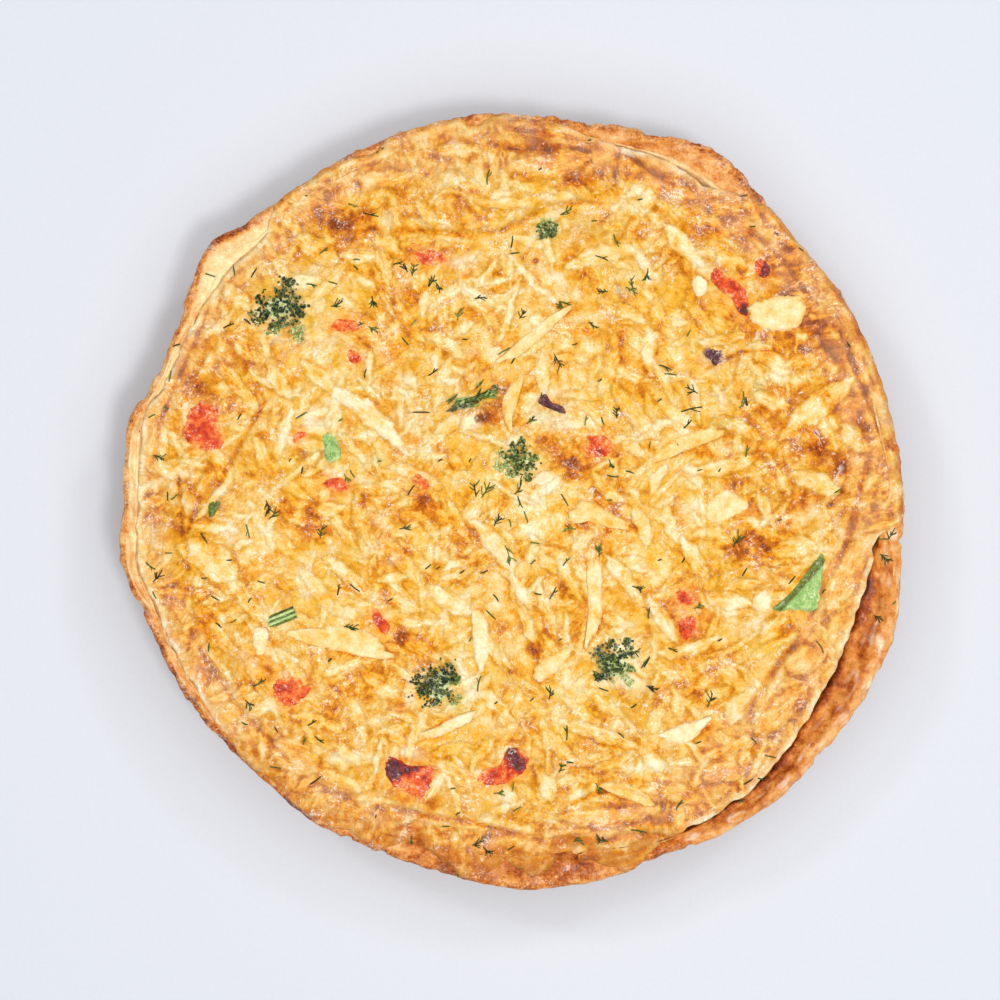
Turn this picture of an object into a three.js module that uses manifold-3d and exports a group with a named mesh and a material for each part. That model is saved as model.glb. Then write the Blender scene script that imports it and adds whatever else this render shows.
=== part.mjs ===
// A whole baked quiche of about 240 mm, out of its tin: a thin pastry case with an uneven rim, filled with egg custard
// and strands of cheese. Pieces of red pepper, broccoli, greens, olive and cheese lie half sunk in the baked top.
// Millimetres, +Z up, origin under the middle of the case on the surface that it stands on.
import * as THREE from "three";
import { ConvexGeometry } from "three/addons/geometries/ConvexGeometry.js";
import { mergeVertices } from "three/addons/utils/BufferGeometryUtils.js";
import Module from "manifold-3d";

const wasm = await Module();
wasm.setup();

// Driving dimensions. The photograph looks straight down, so a pixel of it is a place on the top.
const MM_PER_PIXEL = 0.305;
const CENTRE_PX = { x: 512, y: 501 };
const RIM_HEIGHT = 33;
const RIM_WAVE = 0.9;
const MEAN_RADIUS = 119;
const BASE_RADIUS = 111;
const BASE_FOLLOWS = 0.3;
const BASE_THICKNESS = 4;
const WALL_AT_BASE = 4;
const FOOT_ROUND = 1.6;
const EDGE_ROUND = 1.7;
const PLEATS = 20;
const PLEAT_DEPTH = 0.5;
const CRUMBLE = 0.4;
const GAP = 0.4;
const CUSTARD_HEIGHT = 31.6;
const RISEN_RING = { at: 0.84, width: 0.13, height: 3 };
const STRAND_HEIGHT = 1.3;
const RINGS = 17;
const SEGMENTS = 6 * RINGS;

// The rim, station by station: [angle in degrees from +X, radius, width of the band of crust that shows inside the
// edge, depth of the groove between that band and the custard].
const RIM_STATIONS = [
  [0, 120.3, 7, 1],
  [14, 119.6, 7, 0.8],
  [30, 119.5, 6.5, 0.8],
  [42, 118.8, 7, 1],
  [50, 121, 9, 2],
  [60, 124, 11.5, 3],
  [70, 120.8, 8, 3],
  [84, 118.6, 9, 2],
  [98, 119.5, 10, 1.5],
  [112, 118, 8, 1],
  [126, 117.4, 6.5, 1.5],
  [134, 118.6, 9, 3],
  [140, 122.2, 12, 4],
  [147, 118.6, 8, 3],
  [160, 115.8, 5.5, 2.5],
  [168, 120.8, 6.5, 3.5],
  [178, 119.6, 6.5, 3.5],
  [189, 121.8, 7, 4],
  [197, 118.6, 6, 3.5],
  [210, 117.3, 6, 3],
  [224, 115.3, 5.5, 2],
  [240, 116.2, 6.5, 2],
  [256, 116, 10, 1],
  [270, 119.7, 13, 0.6],
  [284, 120, 12, 0.8],
  [294, 119.2, 7, 2],
  [302, 121.3, 8, 3.5],
  [312, 123.2, 9.5, 5],
  [326, 123.8, 12.5, 6],
  [340, 124.6, 14.5, 6],
  [350, 121.6, 11, 4.5],
];

// Waves of the baked top: [wavelength in mm, direction in degrees, phase in degrees, height in mm].
const TOP_WAVES = [
  [92, 20, 40, 0.55],
  [64, 75, 200, 0.5],
  [47, 140, 310, 0.45],
  [38, 5, 95, 0.35],
  [31, 110, 20, 0.3],
];

// Strands of cheese under the baked skin: [x, y of one end, x, y of the other end, width], in pixels of the photograph.
const STRANDS_PX = [
  [222, 365, 255, 408, 18],
  [269, 368, 290, 398, 22],
  [341, 392, 402, 446, 26],
  [226, 288, 248, 308, 22],
  [228, 332, 256, 358, 18],
  [371, 236, 400, 254, 20],
  [271, 500, 316, 527, 20],
  [188, 547, 236, 577, 38],
  [386, 543, 421, 584, 24],
  [386, 592, 418, 612, 22],
  [474, 521, 512, 566, 26],
  [512, 570, 528, 604, 20],
  [430, 588, 466, 612, 24],
  [637, 508, 648, 545, 20],
  [617, 392, 658, 438, 24],
  [651, 600, 677, 641, 20],
  [652, 492, 664, 466, 16],
  [687, 472, 752, 460, 22],
  [791, 474, 834, 490, 24],
  [787, 433, 848, 382, 26],
  [844, 429, 866, 451, 22],
  [777, 550, 815, 546, 26],
  [685, 541, 705, 576, 22],
  [707, 595, 746, 604, 26],
  [828, 612, 860, 545, 34],
  [789, 668, 824, 648, 30],
  [762, 728, 806, 688, 30],
  [708, 776, 744, 770, 24],
  [662, 655, 716, 640, 20],
  [728, 722, 750, 692, 24],
  [558, 722, 632, 744, 20],
  [566, 818, 650, 812, 22],
  [462, 822, 540, 834, 18],
  [280, 748, 320, 768, 36],
  [322, 774, 362, 790, 20],
  [296, 714, 340, 728, 16],
  [506, 168, 580, 160, 28],
  [435, 152, 476, 149, 16],
  [421, 204, 439, 233, 16],
  [484, 205, 547, 198, 14],
  [596, 160, 618, 142, 24],
  [666, 228, 700, 264, 20],
  [768, 262, 800, 252, 16],
  [750, 343, 783, 372, 22],
  [788, 366, 824, 354, 22],
  [706, 343, 744, 335, 16],
];

// Sprigs of dill that show from a step away: [x, y in pixels, direction in degrees, length in mm].
const DILL_PX = [
  [370, 214, -15, 5],
  [345, 305, 30, 6],
  [412, 272, 70, 5],
  [424, 282, 60, 5],
  [458, 313, 80, 5],
  [479, 297, 20, 4],
  [514, 240, 80, 5],
  [618, 236, -70, 5],
  [646, 270, 60, 6],
  [628, 290, -30, 5],
  [560, 303, 10, 5],
  [594, 324, -60, 4],
  [432, 372, 40, 5],
  [690, 392, -45, 5],
  [683, 422, 20, 6],
  [478, 488, 65, 7],
  [507, 548, -60, 6],
  [410, 488, 60, 6],
  [268, 510, -75, 7],
  [320, 530, 70, 5],
  [152, 572, 60, 6],
  [155, 460, 20, 5],
  [355, 630, -10, 6],
  [735, 540, 50, 5],
  [568, 530, -20, 5],
  [656, 608, 10, 4],
  [600, 687, 5, 6],
  [712, 700, 60, 5],
  [598, 788, -60, 5],
  [478, 690, 80, 5],
  [552, 692, -60, 4],
  [492, 838, 0, 6],
  [250, 702, -50, 4],
];

// Pieces in the top: [name, x, y of one end, x, y of the other end, width in pixels, thickness in mm].
const RED_PEPPERS_PX = [
  ["pepper_red_01", 187, 416, 221, 441, 34, 7],
  ["pepper_red_02", 274, 690, 311, 687, 20, 6],
  ["pepper_red_03", 386, 768, 431, 786, 28, 7],
  ["pepper_red_04", 478, 779, 527, 757, 20, 6],
  ["pepper_red_05", 714, 277, 742, 305, 16, 5],
  ["pepper_red_06", 586, 446, 612, 446, 22, 6],
  ["pepper_red_07", 675, 597, 696, 600, 17, 5],
  ["pepper_red_08", 678, 624, 699, 630, 18, 5],
  ["pepper_red_09", 325, 484, 349, 486, 14, 5],
  ["pepper_red_10", 415, 256, 445, 258, 17, 5],
  ["pepper_red_11", 331, 326, 361, 324, 14, 5],
  ["pepper_red_12", 346, 352, 361, 360, 11, 4],
  ["pepper_red_13", 755, 262, 769, 277, 14, 4],
  ["pepper_red_14", 294, 440, 305, 433, 10, 4],
  ["pepper_red_15", 413, 476, 429, 487, 10, 4],
  ["pepper_red_16", 373, 612, 385, 630, 12, 4],
];
const OLIVES_PX = [
  ["olive_1", 705, 351, 722, 362, 14, 4],
  ["olive_2", 539, 397, 565, 410, 16, 4],
];
const CHEESE_PX = [
  ["cheese_01", 501, 361, 573, 306, 13, 3],
  ["cheese_02", 472, 612, 482, 672, 16, 4],
  ["cheese_03", 595, 562, 585, 650, 17, 4],
  ["cheese_04", 422, 735, 472, 722, 14, 4],
  ["cheese_05", 658, 736, 704, 718, 19, 5],
  ["cheese_06", 754, 318, 806, 312, 36, 5],
  ["cheese_07", 708, 510, 752, 496, 24, 5],
  ["cheese_08", 288, 634, 390, 654, 20, 5],
  ["cheese_09", 260, 629, 263, 656, 14, 4],
  ["cheese_10", 752, 603, 770, 601, 16, 4],
  ["cheese_11", 698, 277, 700, 296, 12, 4],
  ["cheese_12", 427, 292, 423, 315, 12, 4],
  ["cheese_13", 519, 383, 513, 429, 19, 4],
  ["cheese_14", 568, 519, 626, 527, 21, 5],
  ["cheese_15", 666, 454, 723, 428, 19, 4],
  ["cheese_16", 530, 669, 573, 650, 20, 4],
  ["cheese_17", 598, 786, 652, 803, 15, 4],
];
const BROCCOLI_PX = [
  ["broccoli_1", 281, 312, 54],
  ["broccoli_2", 437, 691, 48],
  ["broccoli_3", 616, 662, 42],
  ["broccoli_4", 518, 460, 38],
  ["broccoli_5", 547, 228, 24],
];
const GREEN_PEPPERS_PX = [
  ["pepper_green_1", 808, 560, 792, 613, 38, 4],
  ["pepper_green_2", 329, 434, 331, 461, 16, 4],
  ["pepper_green_3", 211, 516, 217, 500, 11, 3],
];
const SPRING_ONION_PX = ["spring_onion", 268, 623, 295, 612, 12];
const LEAF_PX = ["parsley_leaf", 446, 409, 499, 391, 20];

// How far each kind of piece stands out of the baked top.
const PROUD = { pepper: 0.9, olive: 1, cheese: 1.3, broccoli: 2.4, leaf: 1.2 };

// The place on the top of a pixel of the photograph.
function atPixel(x, y) {
  return new THREE.Vector2((x - CENTRE_PX.x) * MM_PER_PIXEL, (CENTRE_PX.y - y) * MM_PER_PIXEL);
}

// One column of the rim stations at an angle in degrees, as a smooth curve that closes on itself.
function rimColumn(degrees, column) {
  const n = RIM_STATIONS.length;
  const at = ((degrees % 360) + 360) % 360;
  let i = n - 1;
  while (i > 0 && RIM_STATIONS[i][0] > at) i -= 1;
  const station = (k) => {
    const turn = Math.floor(k / n);
    const row = RIM_STATIONS[k - turn * n];
    return { angle: row[0] + 360 * turn, value: row[column] };
  };
  const [a, b, c, d] = [i - 1, i, i + 1, i + 2].map(station);
  const span = c.angle - b.angle;
  const t = (at - b.angle) / span;
  const slopeB = ((c.value - a.value) / (c.angle - a.angle)) * span;
  const slopeC = ((d.value - b.value) / (d.angle - b.angle)) * span;
  const t2 = t * t;
  const t3 = t2 * t;
  return (
    (2 * t3 - 3 * t2 + 1) * b.value + (t3 - 2 * t2 + t) * slopeB + (3 * t2 - 2 * t3) * c.value + (t3 - t2) * slopeC
  );
}

function rimAt(degrees) {
  const radius = rimColumn(degrees, 1);
  const band = rimColumn(degrees, 2);
  const groove = rimColumn(degrees, 3);
  const turn = THREE.MathUtils.degToRad(degrees);
  const waves = Math.sin(2 * turn + 0.6) + 0.6 * Math.sin(5 * turn + 2) + 0.4 * Math.sin(13 * turn + 1);
  const crest = RIM_HEIGHT + RIM_WAVE * waves;
  const pleat = PLEAT_DEPTH * Math.sin(PLEATS * turn + 1.4 * Math.sin(3 * turn));
  const crumble = CRUMBLE * (Math.sin(17 * turn + 2 * Math.sin(2 * turn)) + 0.5 * Math.sin(23 * turn + 1) - 1.3);
  const base = BASE_RADIUS + BASE_FOLLOWS * (radius - MEAN_RADIUS);
  return { radius: radius + crumble, band, groove, crest, pleat, base, custard: radius - band };
}

// The height of the baked top, without its strands, at a place in millimetres.
function topHeight(x, y) {
  const rim = rimAt(THREE.MathUtils.radToDeg(Math.atan2(y, x)));
  const share = Math.hypot(x, y) / rim.custard;
  const ring = RISEN_RING.height * Math.exp(-(((share - RISEN_RING.at) / RISEN_RING.width) ** 2));
  let z = CUSTARD_HEIGHT + ring;
  for (const [length, direction, phase, height] of TOP_WAVES) {
    const turn = THREE.MathUtils.degToRad(direction);
    const along = x * Math.cos(turn) + y * Math.sin(turn);
    z += height * Math.sin((2 * Math.PI * along) / length + THREE.MathUtils.degToRad(phase));
  }
  const edge = rim.crest - 0.25 * rim.groove + 0.7;
  return THREE.MathUtils.lerp(z, edge, THREE.MathUtils.smoothstep(share, 0.9, 1.0));
}

function meshGeometry(points, triangles) {
  const geometry = new THREE.BufferGeometry();
  geometry.setAttribute("position", new THREE.Float32BufferAttribute(points.flat(), 3));
  geometry.setIndex(triangles.flat());
  return geometry;
}

function solidFrom(geometry) {
  const bare = geometry.clone();
  bare.deleteAttribute("normal");
  bare.deleteAttribute("uv");
  const merged = mergeVertices(bare, 1e-4);
  const index = merged.index.array;
  return new wasm.Manifold(
    new wasm.Mesh({
      numProp: 3,
      vertProperties: new Float32Array(merged.attributes.position.array),
      triVerts: new Uint32Array(index),
    }),
  );
}

// The largest body of a solid, without the loose scraps and sealed hollows that joining and cutting leave.
function largestBody(solid) {
  return solid.decompose().reduce((largest, body) => (body.volume() > largest.volume() ? body : largest));
}

function geometryFrom(solid) {
  const mesh = solid.getMesh();
  const geometry = new THREE.BufferGeometry();
  geometry.setAttribute("position", new THREE.Float32BufferAttribute(mesh.vertProperties, 3));
  geometry.setIndex(new THREE.BufferAttribute(mesh.triVerts, 1));
  geometry.computeVertexNormals();
  return geometry;
}

// The pastry case: one section for each angle, from under the middle, up the outside, over the rim and down inside.
function caseGeometry() {
  const section = (degrees) => {
    const rim = rimAt(degrees);
    const flare = rim.radius - rim.base;
    const inner = rim.custard + GAP;
    return [
      [rim.base - 1.5 * FOOT_ROUND, 0],
      [rim.base + 0.3 * rim.pleat, FOOT_ROUND],
      [rim.base + 0.5 * flare + rim.pleat, 0.5 * rim.crest],
      [rim.radius - 0.9 + 0.6 * rim.pleat, rim.crest - 3 * EDGE_ROUND],
      [rim.radius, rim.crest - EDGE_ROUND],
      [rim.radius - 0.7 * EDGE_ROUND, rim.crest - 0.1 * EDGE_ROUND],
      [rim.radius - 1.2 * EDGE_ROUND - 0.12 * rim.band, rim.crest],
      [rim.radius - 0.62 * rim.band, rim.crest - 0.45 * rim.groove],
      [inner, rim.crest - rim.groove],
      [rim.base - WALL_AT_BASE, BASE_THICKNESS + 0.6],
      [rim.base - WALL_AT_BASE - 1, BASE_THICKNESS],
    ];
  };
  const points = [];
  const triangles = [];
  let rows = 0;
  for (let s = 0; s < SEGMENTS; s += 1) {
    const degrees = (360 * s) / SEGMENTS;
    const turn = THREE.MathUtils.degToRad(degrees);
    const ring = section(degrees);
    rows = ring.length;
    for (const [radius, z] of ring) points.push([radius * Math.cos(turn), radius * Math.sin(turn), z]);
  }
  const under = points.push([0, 0, 0]) - 1;
  const inside = points.push([0, 0, BASE_THICKNESS]) - 1;
  for (let s = 0; s < SEGMENTS; s += 1) {
    const here = s * rows;
    const next = ((s + 1) % SEGMENTS) * rows;
    triangles.push([under, next, here]);
    for (let row = 0; row < rows - 1; row += 1) {
      triangles.push([here + row, next + row, next + row + 1]);
      triangles.push([here + row, next + row + 1, here + row + 1]);
    }
    triangles.push([here + rows - 1, next + rows - 1, inside]);
  }
  return meshGeometry(points, triangles);
}

// The custard without its strands: rings of points that follow the case, six more in each ring than in the last.
function custardGeometry() {
  const points = [[0, 0, topHeight(0, 0)]];
  const triangles = [];
  const first = (ring) => 1 + 3 * ring * (ring - 1);
  for (let ring = 1; ring <= RINGS; ring += 1) {
    for (let i = 0; i < 6 * ring; i += 1) {
      const degrees = (60 * i) / ring;
      const turn = THREE.MathUtils.degToRad(degrees);
      const radius = (rimAt(degrees).custard * ring) / RINGS;
      const [x, y] = [radius * Math.cos(turn), radius * Math.sin(turn)];
      points.push([x, y, topHeight(x, y)]);
    }
    for (let sector = 0; sector < 6; sector += 1) {
      for (let j = 0; j < ring; j += 1) {
        const outer = (k) => first(ring) + ((sector * ring + k) % (6 * ring));
        const inner = (k) => (ring === 1 ? 0 : first(ring - 1) + ((sector * (ring - 1) + k) % (6 * (ring - 1))));
        triangles.push([outer(j), outer(j + 1), inner(j)]);
        if (j < ring - 1) triangles.push([outer(j + 1), inner(j + 1), inner(j)]);
      }
    }
  }
  const edge = first(RINGS);
  const foot = points.length;
  for (let s = 0; s < SEGMENTS; s += 1) {
    const degrees = (360 * s) / SEGMENTS;
    const turn = THREE.MathUtils.degToRad(degrees);
    const rim = rimAt(degrees);
    const sides = [
      [rim.custard, rim.crest - rim.groove],
      [rim.base - WALL_AT_BASE - GAP - 0.6, BASE_THICKNESS + 1],
      [rim.base - WALL_AT_BASE - GAP - 2, BASE_THICKNESS + GAP],
    ];
    for (const [radius, z] of sides) points.push([radius * Math.cos(turn), radius * Math.sin(turn), z]);
  }
  const under = points.push([0, 0, BASE_THICKNESS + GAP]) - 1;
  for (let s = 0; s < SEGMENTS; s += 1) {
    const next = (s + 1) % SEGMENTS;
    const column = (k) => [edge + k, foot + 3 * k, foot + 3 * k + 1, foot + 3 * k + 2];
    const [here, there] = [column(s), column(next)];
    for (let row = 0; row < 3; row += 1) {
      triangles.push([here[row], here[row + 1], there[row + 1]]);
      triangles.push([here[row], there[row + 1], there[row]]);
    }
    triangles.push([here[3], under, there[3]]);
  }
  return meshGeometry(points, triangles);
}

// A strand or sliver: five-sided sections that swell from one pointed end to the other, flatter on top than below.
function strandGeometry(length, width, up, down) {
  const stations = [-0.62, 0.05, 0.66];
  const outline = [
    [-0.5, 0],
    [-0.28, 1],
    [0.28, 0.85],
    [0.5, -0.1],
    [0, -1],
  ];
  const points = [[-length / 2, 0, 0]];
  const triangles = [];
  for (const t of stations) {
    const swell = Math.sqrt(1 - t * t * 0.75);
    for (const [side, level] of outline) {
      points.push([(t * length) / 2, side * width * swell, level * (level > 0 ? up : down) * swell]);
    }
  }
  const tip = points.push([length / 2, 0, 0.15 * up]) - 1;
  const sides = outline.length;
  const last = 1 + (stations.length - 1) * sides;
  for (let k = 0; k < sides; k += 1) {
    const next = (k + 1) % sides;
    triangles.push([0, 1 + k, 1 + next]);
    for (let row = 0; row < stations.length - 1; row += 1) {
      const [here, there] = [1 + row * sides, 1 + (row + 1) * sides];
      triangles.push([here + k, there + k, there + next]);
      triangles.push([here + k, there + next, here + next]);
    }
    triangles.push([tip, last + next, last + k]);
  }
  return meshGeometry(points, triangles);
}

// A diced piece: an uneven outline with bevelled upper and lower edges, its top at z = 0.
function diceGeometry(length, width, thickness, corners, bevel) {
  const shape = new THREE.Shape(
    corners.map(([x, y]) => new THREE.Vector2(x * (length / 2 - bevel), y * (width / 2 - bevel))),
  );
  const geometry = new THREE.ExtrudeGeometry(shape, {
    depth: thickness - 2 * bevel,
    bevelEnabled: bevel > 0,
    bevelThickness: bevel,
    bevelSize: bevel,
    bevelSegments: 1,
  });
  return geometry.translate(0, 0, -thickness + bevel);
}

const DICED = [
  [-1, -0.8],
  [0.2, -1],
  [1, -0.65],
  [0.85, 0.9],
  [-0.75, 1],
];
const WEDGE = [
  [-1, -0.25],
  [0.9, -1],
  [1, 0.8],
  [-0.9, 0.35],
];

// The width of a floret over the radius of its dome, and how far its buds stand out of that, over the radius.
const FLORET_SPREAD = 2.3;
const BUD_RELIEF = 0.22;
const BUDS = 16;

// A floret: a dome of buds over a short stalk, its top near z = 0.
function floretSolid(across, seed) {
  const radius = across / FLORET_SPREAD;
  const buds = Array.from({ length: BUDS }, (_, i) => {
    const up = 1 - (1.5 * (i + 0.5)) / BUDS;
    const turn = i * 2.4 + seed;
    return new THREE.Vector3(Math.sqrt(1 - up * up) * Math.cos(turn), Math.sqrt(1 - up * up) * Math.sin(turn), up);
  });
  const crown = new THREE.IcosahedronGeometry(radius, 3);
  const position = crown.attributes.position;
  const point = new THREE.Vector3();
  for (let i = 0; i < position.count; i += 1) {
    point.fromBufferAttribute(position, i).normalize();
    const nearest = Math.min(...buds.map((bud) => bud.distanceTo(point)));
    const swell = 1 + BUD_RELIEF * (1 - Math.min(nearest / 0.42, 1) ** 2);
    point.multiplyScalar(radius * swell);
    position.setXYZ(i, point.x, point.y, 0.75 * point.z - 0.78 * radius);
  }
  const stalk = new THREE.CylinderGeometry(0.5 * radius, 0.35 * radius, radius, 7)
    .rotateX(Math.PI / 2)
    .translate(0, 0, -1.45 * radius);
  return largestBody(solidFrom(crown).add(solidFrom(stalk)));
}

// A plain solid that a floret fits in, for the hollow under it.
function floretEnvelope(across) {
  const radius = across / FLORET_SPREAD;
  const profile = [
    [0, 0.2],
    [0.5, 0.12],
    [0.85, -0.12],
    [1.1, -0.4],
    [1.24, -0.8],
    [1.2, -1.05],
    [0.55, -1.9],
    [0, -1.9],
  ];
  const outline = profile.map(([out, up]) => new THREE.Vector2(out * radius, up * radius)).reverse();
  return new THREE.LatheGeometry(outline, 12).rotateX(Math.PI / 2);
}

// A thin wavy leaf, with both faces split into triangles alike, its middle at z = 0.
function leafGeometry(length, width, thickness) {
  const columns = 8;
  const rows = 4;
  const points = [];
  const triangles = [];
  const face = (level) => {
    for (let i = 0; i <= columns; i += 1) {
      const t = (2 * i) / columns - 1;
      const half = (width / 2) * Math.sqrt(Math.max(1 - t * t, 0.12)) * (1 + 0.16 * Math.cos(9 * t));
      for (let j = 0; j <= rows; j += 1) {
        const side = (2 * j) / rows - 1;
        const wave = 0.5 * Math.sin(5 * t + 2 * side) + 0.35 * side * side;
        points.push([(t * length) / 2, side * half, wave + level * thickness]);
      }
    }
  };
  face(0.5);
  face(-0.5);
  const across = rows + 1;
  const lower = (columns + 1) * across;
  for (let i = 0; i < columns; i += 1) {
    for (let j = 0; j < rows; j += 1) {
      const [a, b, c, d] = [i * across + j, (i + 1) * across + j, (i + 1) * across + j + 1, i * across + j + 1];
      triangles.push([a, b, c], [a, c, d]);
      triangles.push([lower + a, lower + c, lower + b], [lower + a, lower + d, lower + c]);
    }
  }
  const rim = [];
  for (let i = 0; i <= columns; i += 1) rim.push(i * across);
  for (let j = 1; j <= rows; j += 1) rim.push(columns * across + j);
  for (let i = columns - 1; i >= 0; i -= 1) rim.push(i * across + rows);
  for (let j = rows - 1; j >= 1; j -= 1) rim.push(j);
  rim.forEach((a, k) => {
    const b = rim[(k + 1) % rim.length];
    triangles.push([a, lower + a, lower + b], [a, lower + b, b]);
  });
  return meshGeometry(points, triangles);
}

// Where a piece lies: over its middle, turned along its two ends, tipped to follow the top under it.
function lieAt(start, end, above) {
  const middle = start.clone().add(end).multiplyScalar(0.5);
  const step = 2;
  const slopeX = (topHeight(middle.x + step, middle.y) - topHeight(middle.x - step, middle.y)) / (2 * step);
  const slopeY = (topHeight(middle.x, middle.y + step) - topHeight(middle.x, middle.y - step)) / (2 * step);
  const up = new THREE.Vector3(-slopeX, -slopeY, 1).normalize();
  const tip = new THREE.Quaternion().setFromUnitVectors(new THREE.Vector3(0, 0, 1), up);
  const turn = Math.atan2(end.y - start.y, end.x - start.x);
  const spin = new THREE.Quaternion().setFromAxisAngle(new THREE.Vector3(0, 0, 1), turn);
  const place = new THREE.Vector3(middle.x, middle.y, topHeight(middle.x, middle.y) + above);
  return new THREE.Matrix4().compose(place, tip.multiply(spin), new THREE.Vector3(1, 1, 1));
}

// The hollow that a piece lies in: its convex form, grown by the gap all round.
function pocketFrom(geometry) {
  const hull = new ConvexGeometry(
    Array.from({ length: geometry.attributes.position.count }, (_, i) =>
      new THREE.Vector3().fromBufferAttribute(geometry.attributes.position, i),
    ),
  );
  hull.computeBoundingBox();
  const size = hull.boundingBox.getSize(new THREE.Vector3());
  const middle = hull.boundingBox.getCenter(new THREE.Vector3());
  hull.translate(-middle.x, -middle.y, -middle.z);
  hull.scale(1 + (2.6 * GAP) / size.x, 1 + (2.6 * GAP) / size.y, 1 + (2.6 * GAP) / size.z);
  return hull.translate(middle.x, middle.y, middle.z);
}

const group = new THREE.Group();
const pockets = [];
const taken = [];

function addNode(name, geometry, material) {
  const mesh = new THREE.Mesh(geometry, material);
  mesh.name = name;
  group.add(mesh);
  return mesh;
}

// Sets a piece in the top as a node of its own, and keeps the hollow for it.
function addPiece(name, geometry, material, start, end, above, envelope = geometry) {
  const matrix = lieAt(start, end, above);
  addNode(name, geometry.clone().applyMatrix4(matrix), material);
  pockets.push(solidFrom(pocketFrom(envelope).applyMatrix4(matrix)));
  geometry.computeBoundingBox();
  const size = geometry.boundingBox.getSize(new THREE.Vector3());
  taken.push({ start, end, reach: size.y / 2 });
}

// True where a strand or sprig would come within its own reach of a piece.
function crossesPiece(start, end, reach) {
  return taken.some((piece) => {
    for (let k = 0; k <= 8; k += 1) {
      const here = start.clone().lerp(end, k / 8);
      for (let m = 0; m <= 8; m += 1) {
        const there = piece.start.clone().lerp(piece.end, m / 8);
        if (here.distanceTo(there) < reach + piece.reach + GAP) return true;
      }
    }
    return false;
  });
}

function standard(colour, roughness) {
  return new THREE.MeshStandardMaterial({ color: colour, roughness, metalness: 0 });
}

const PASTRY = standard(0xcf8a45, 0.6);
const CUSTARD = standard(0xecbc6c, 0.45);
const RED = standard(0xe0502a, 0.4);
const DARK = standard(0x5c3328, 0.6);
const CHEESE = standard(0xf6d890, 0.4);
const FLORET = standard(0x3c5a2c, 0.7);
const GREEN = standard(0x86b04a, 0.4);
const HERB = standard(0x44602c, 0.6);

function addVegetables() {
  const dice = (rows, corners, material, proud) => {
    for (const [name, x0, y0, x1, y1, width, thickness] of rows) {
      const [start, end] = [atPixel(x0, y0), atPixel(x1, y1)];
      const [length, across] = [start.distanceTo(end), width * MM_PER_PIXEL];
      const bevel = Math.min(0.12 * across, 0.35);
      const geometry = diceGeometry(length, across, thickness, corners, bevel);
      const envelope = diceGeometry(length, across, thickness, corners, 0);
      addPiece(name, geometry, material, start, end, proud, envelope);
    }
  };
  dice(RED_PEPPERS_PX, DICED, RED, PROUD.pepper);
  dice(OLIVES_PX, DICED, DARK, PROUD.olive);
  dice(GREEN_PEPPERS_PX, WEDGE, GREEN, PROUD.pepper);
  BROCCOLI_PX.forEach(([name, x, y, across], i) => {
    const [left, right] = [atPixel(x - across / 4, y), atPixel(x + across / 4, y)];
    const geometry = geometryFrom(floretSolid(across * MM_PER_PIXEL, i + 1));
    addPiece(name, geometry, FLORET, left, right, PROUD.broccoli, floretEnvelope(across * MM_PER_PIXEL));
  });
  const [onion, ox0, oy0, ox1, oy1, onionWidth] = SPRING_ONION_PX;
  const [onionStart, onionEnd] = [atPixel(ox0, oy0), atPixel(ox1, oy1)];
  const onionRadius = (onionWidth * MM_PER_PIXEL) / 2;
  const stem = new THREE.CylinderGeometry(onionRadius, 0.9 * onionRadius, onionStart.distanceTo(onionEnd), 10);
  stem.rotateZ(Math.PI / 2).translate(0, 0, -onionRadius);
  addPiece(onion, stem, GREEN, onionStart, onionEnd, PROUD.pepper);
  const [leaf, lx0, ly0, lx1, ly1, leafWidth] = LEAF_PX;
  const [leafStart, leafEnd] = [atPixel(lx0, ly0), atPixel(lx1, ly1)];
  const blade = leafGeometry(leafStart.distanceTo(leafEnd), leafWidth * MM_PER_PIXEL, 0.7);
  addPiece(leaf, blade, HERB, leafStart, leafEnd, PROUD.leaf);
}

function addCheese() {
  for (const [name, x0, y0, x1, y1, width, thickness] of CHEESE_PX) {
    const [start, end] = [atPixel(x0, y0), atPixel(x1, y1)];
    const length = start.distanceTo(end);
    const geometry = strandGeometry(length, width * MM_PER_PIXEL, PROUD.cheese, thickness - PROUD.cheese);
    addPiece(name, geometry, CHEESE, start, end, 0);
  }
}

// The custard with its strands and dill fused on, and a hollow for each piece.
function fillingSolid() {
  let filling = solidFrom(custardGeometry());
  for (const [x0, y0, x1, y1, width] of STRANDS_PX) {
    const [start, end] = [atPixel(x0, y0), atPixel(x1, y1)];
    const across = width * MM_PER_PIXEL;
    if (crossesPiece(start, end, across / 2)) continue;
    const strand = strandGeometry(start.distanceTo(end) + 2, across, STRAND_HEIGHT + 0.1 * across, 2);
    filling = filling.add(solidFrom(strand.applyMatrix4(lieAt(start, end, 0))));
  }
  for (const [x, y, direction, length] of DILL_PX) {
    const turn = THREE.MathUtils.degToRad(direction);
    const half = new THREE.Vector2(Math.cos(turn), Math.sin(turn)).multiplyScalar(length / 2);
    const centre = atPixel(x, y);
    const [start, end] = [centre.clone().sub(half), centre.clone().add(half)];
    if (crossesPiece(start, end, 0.6)) continue;
    const sprig = new THREE.CylinderGeometry(0.8, 0.5, length, 4).rotateZ(Math.PI / 2);
    filling = filling.add(solidFrom(sprig.applyMatrix4(lieAt(start, end, 0.35))));
  }
  for (const pocket of pockets) filling = filling.subtract(pocket);
  return largestBody(filling);
}

addNode("pastry_case", caseGeometry(), PASTRY);
addVegetables();
addCheese();
addNode("filling", geometryFrom(fillingSolid()), CUSTARD);

export default group;
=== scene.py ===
"""Looks of a whole baked quiche: skin, strands and folds of the filling, pastry case, toppings and dill.

Work is in millimetres, with places on the top in pixels of the photograph. Meshes are made in metres.
The last number in a call of the functions noise, fractal and ridged is a seed.
"""
import math

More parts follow.
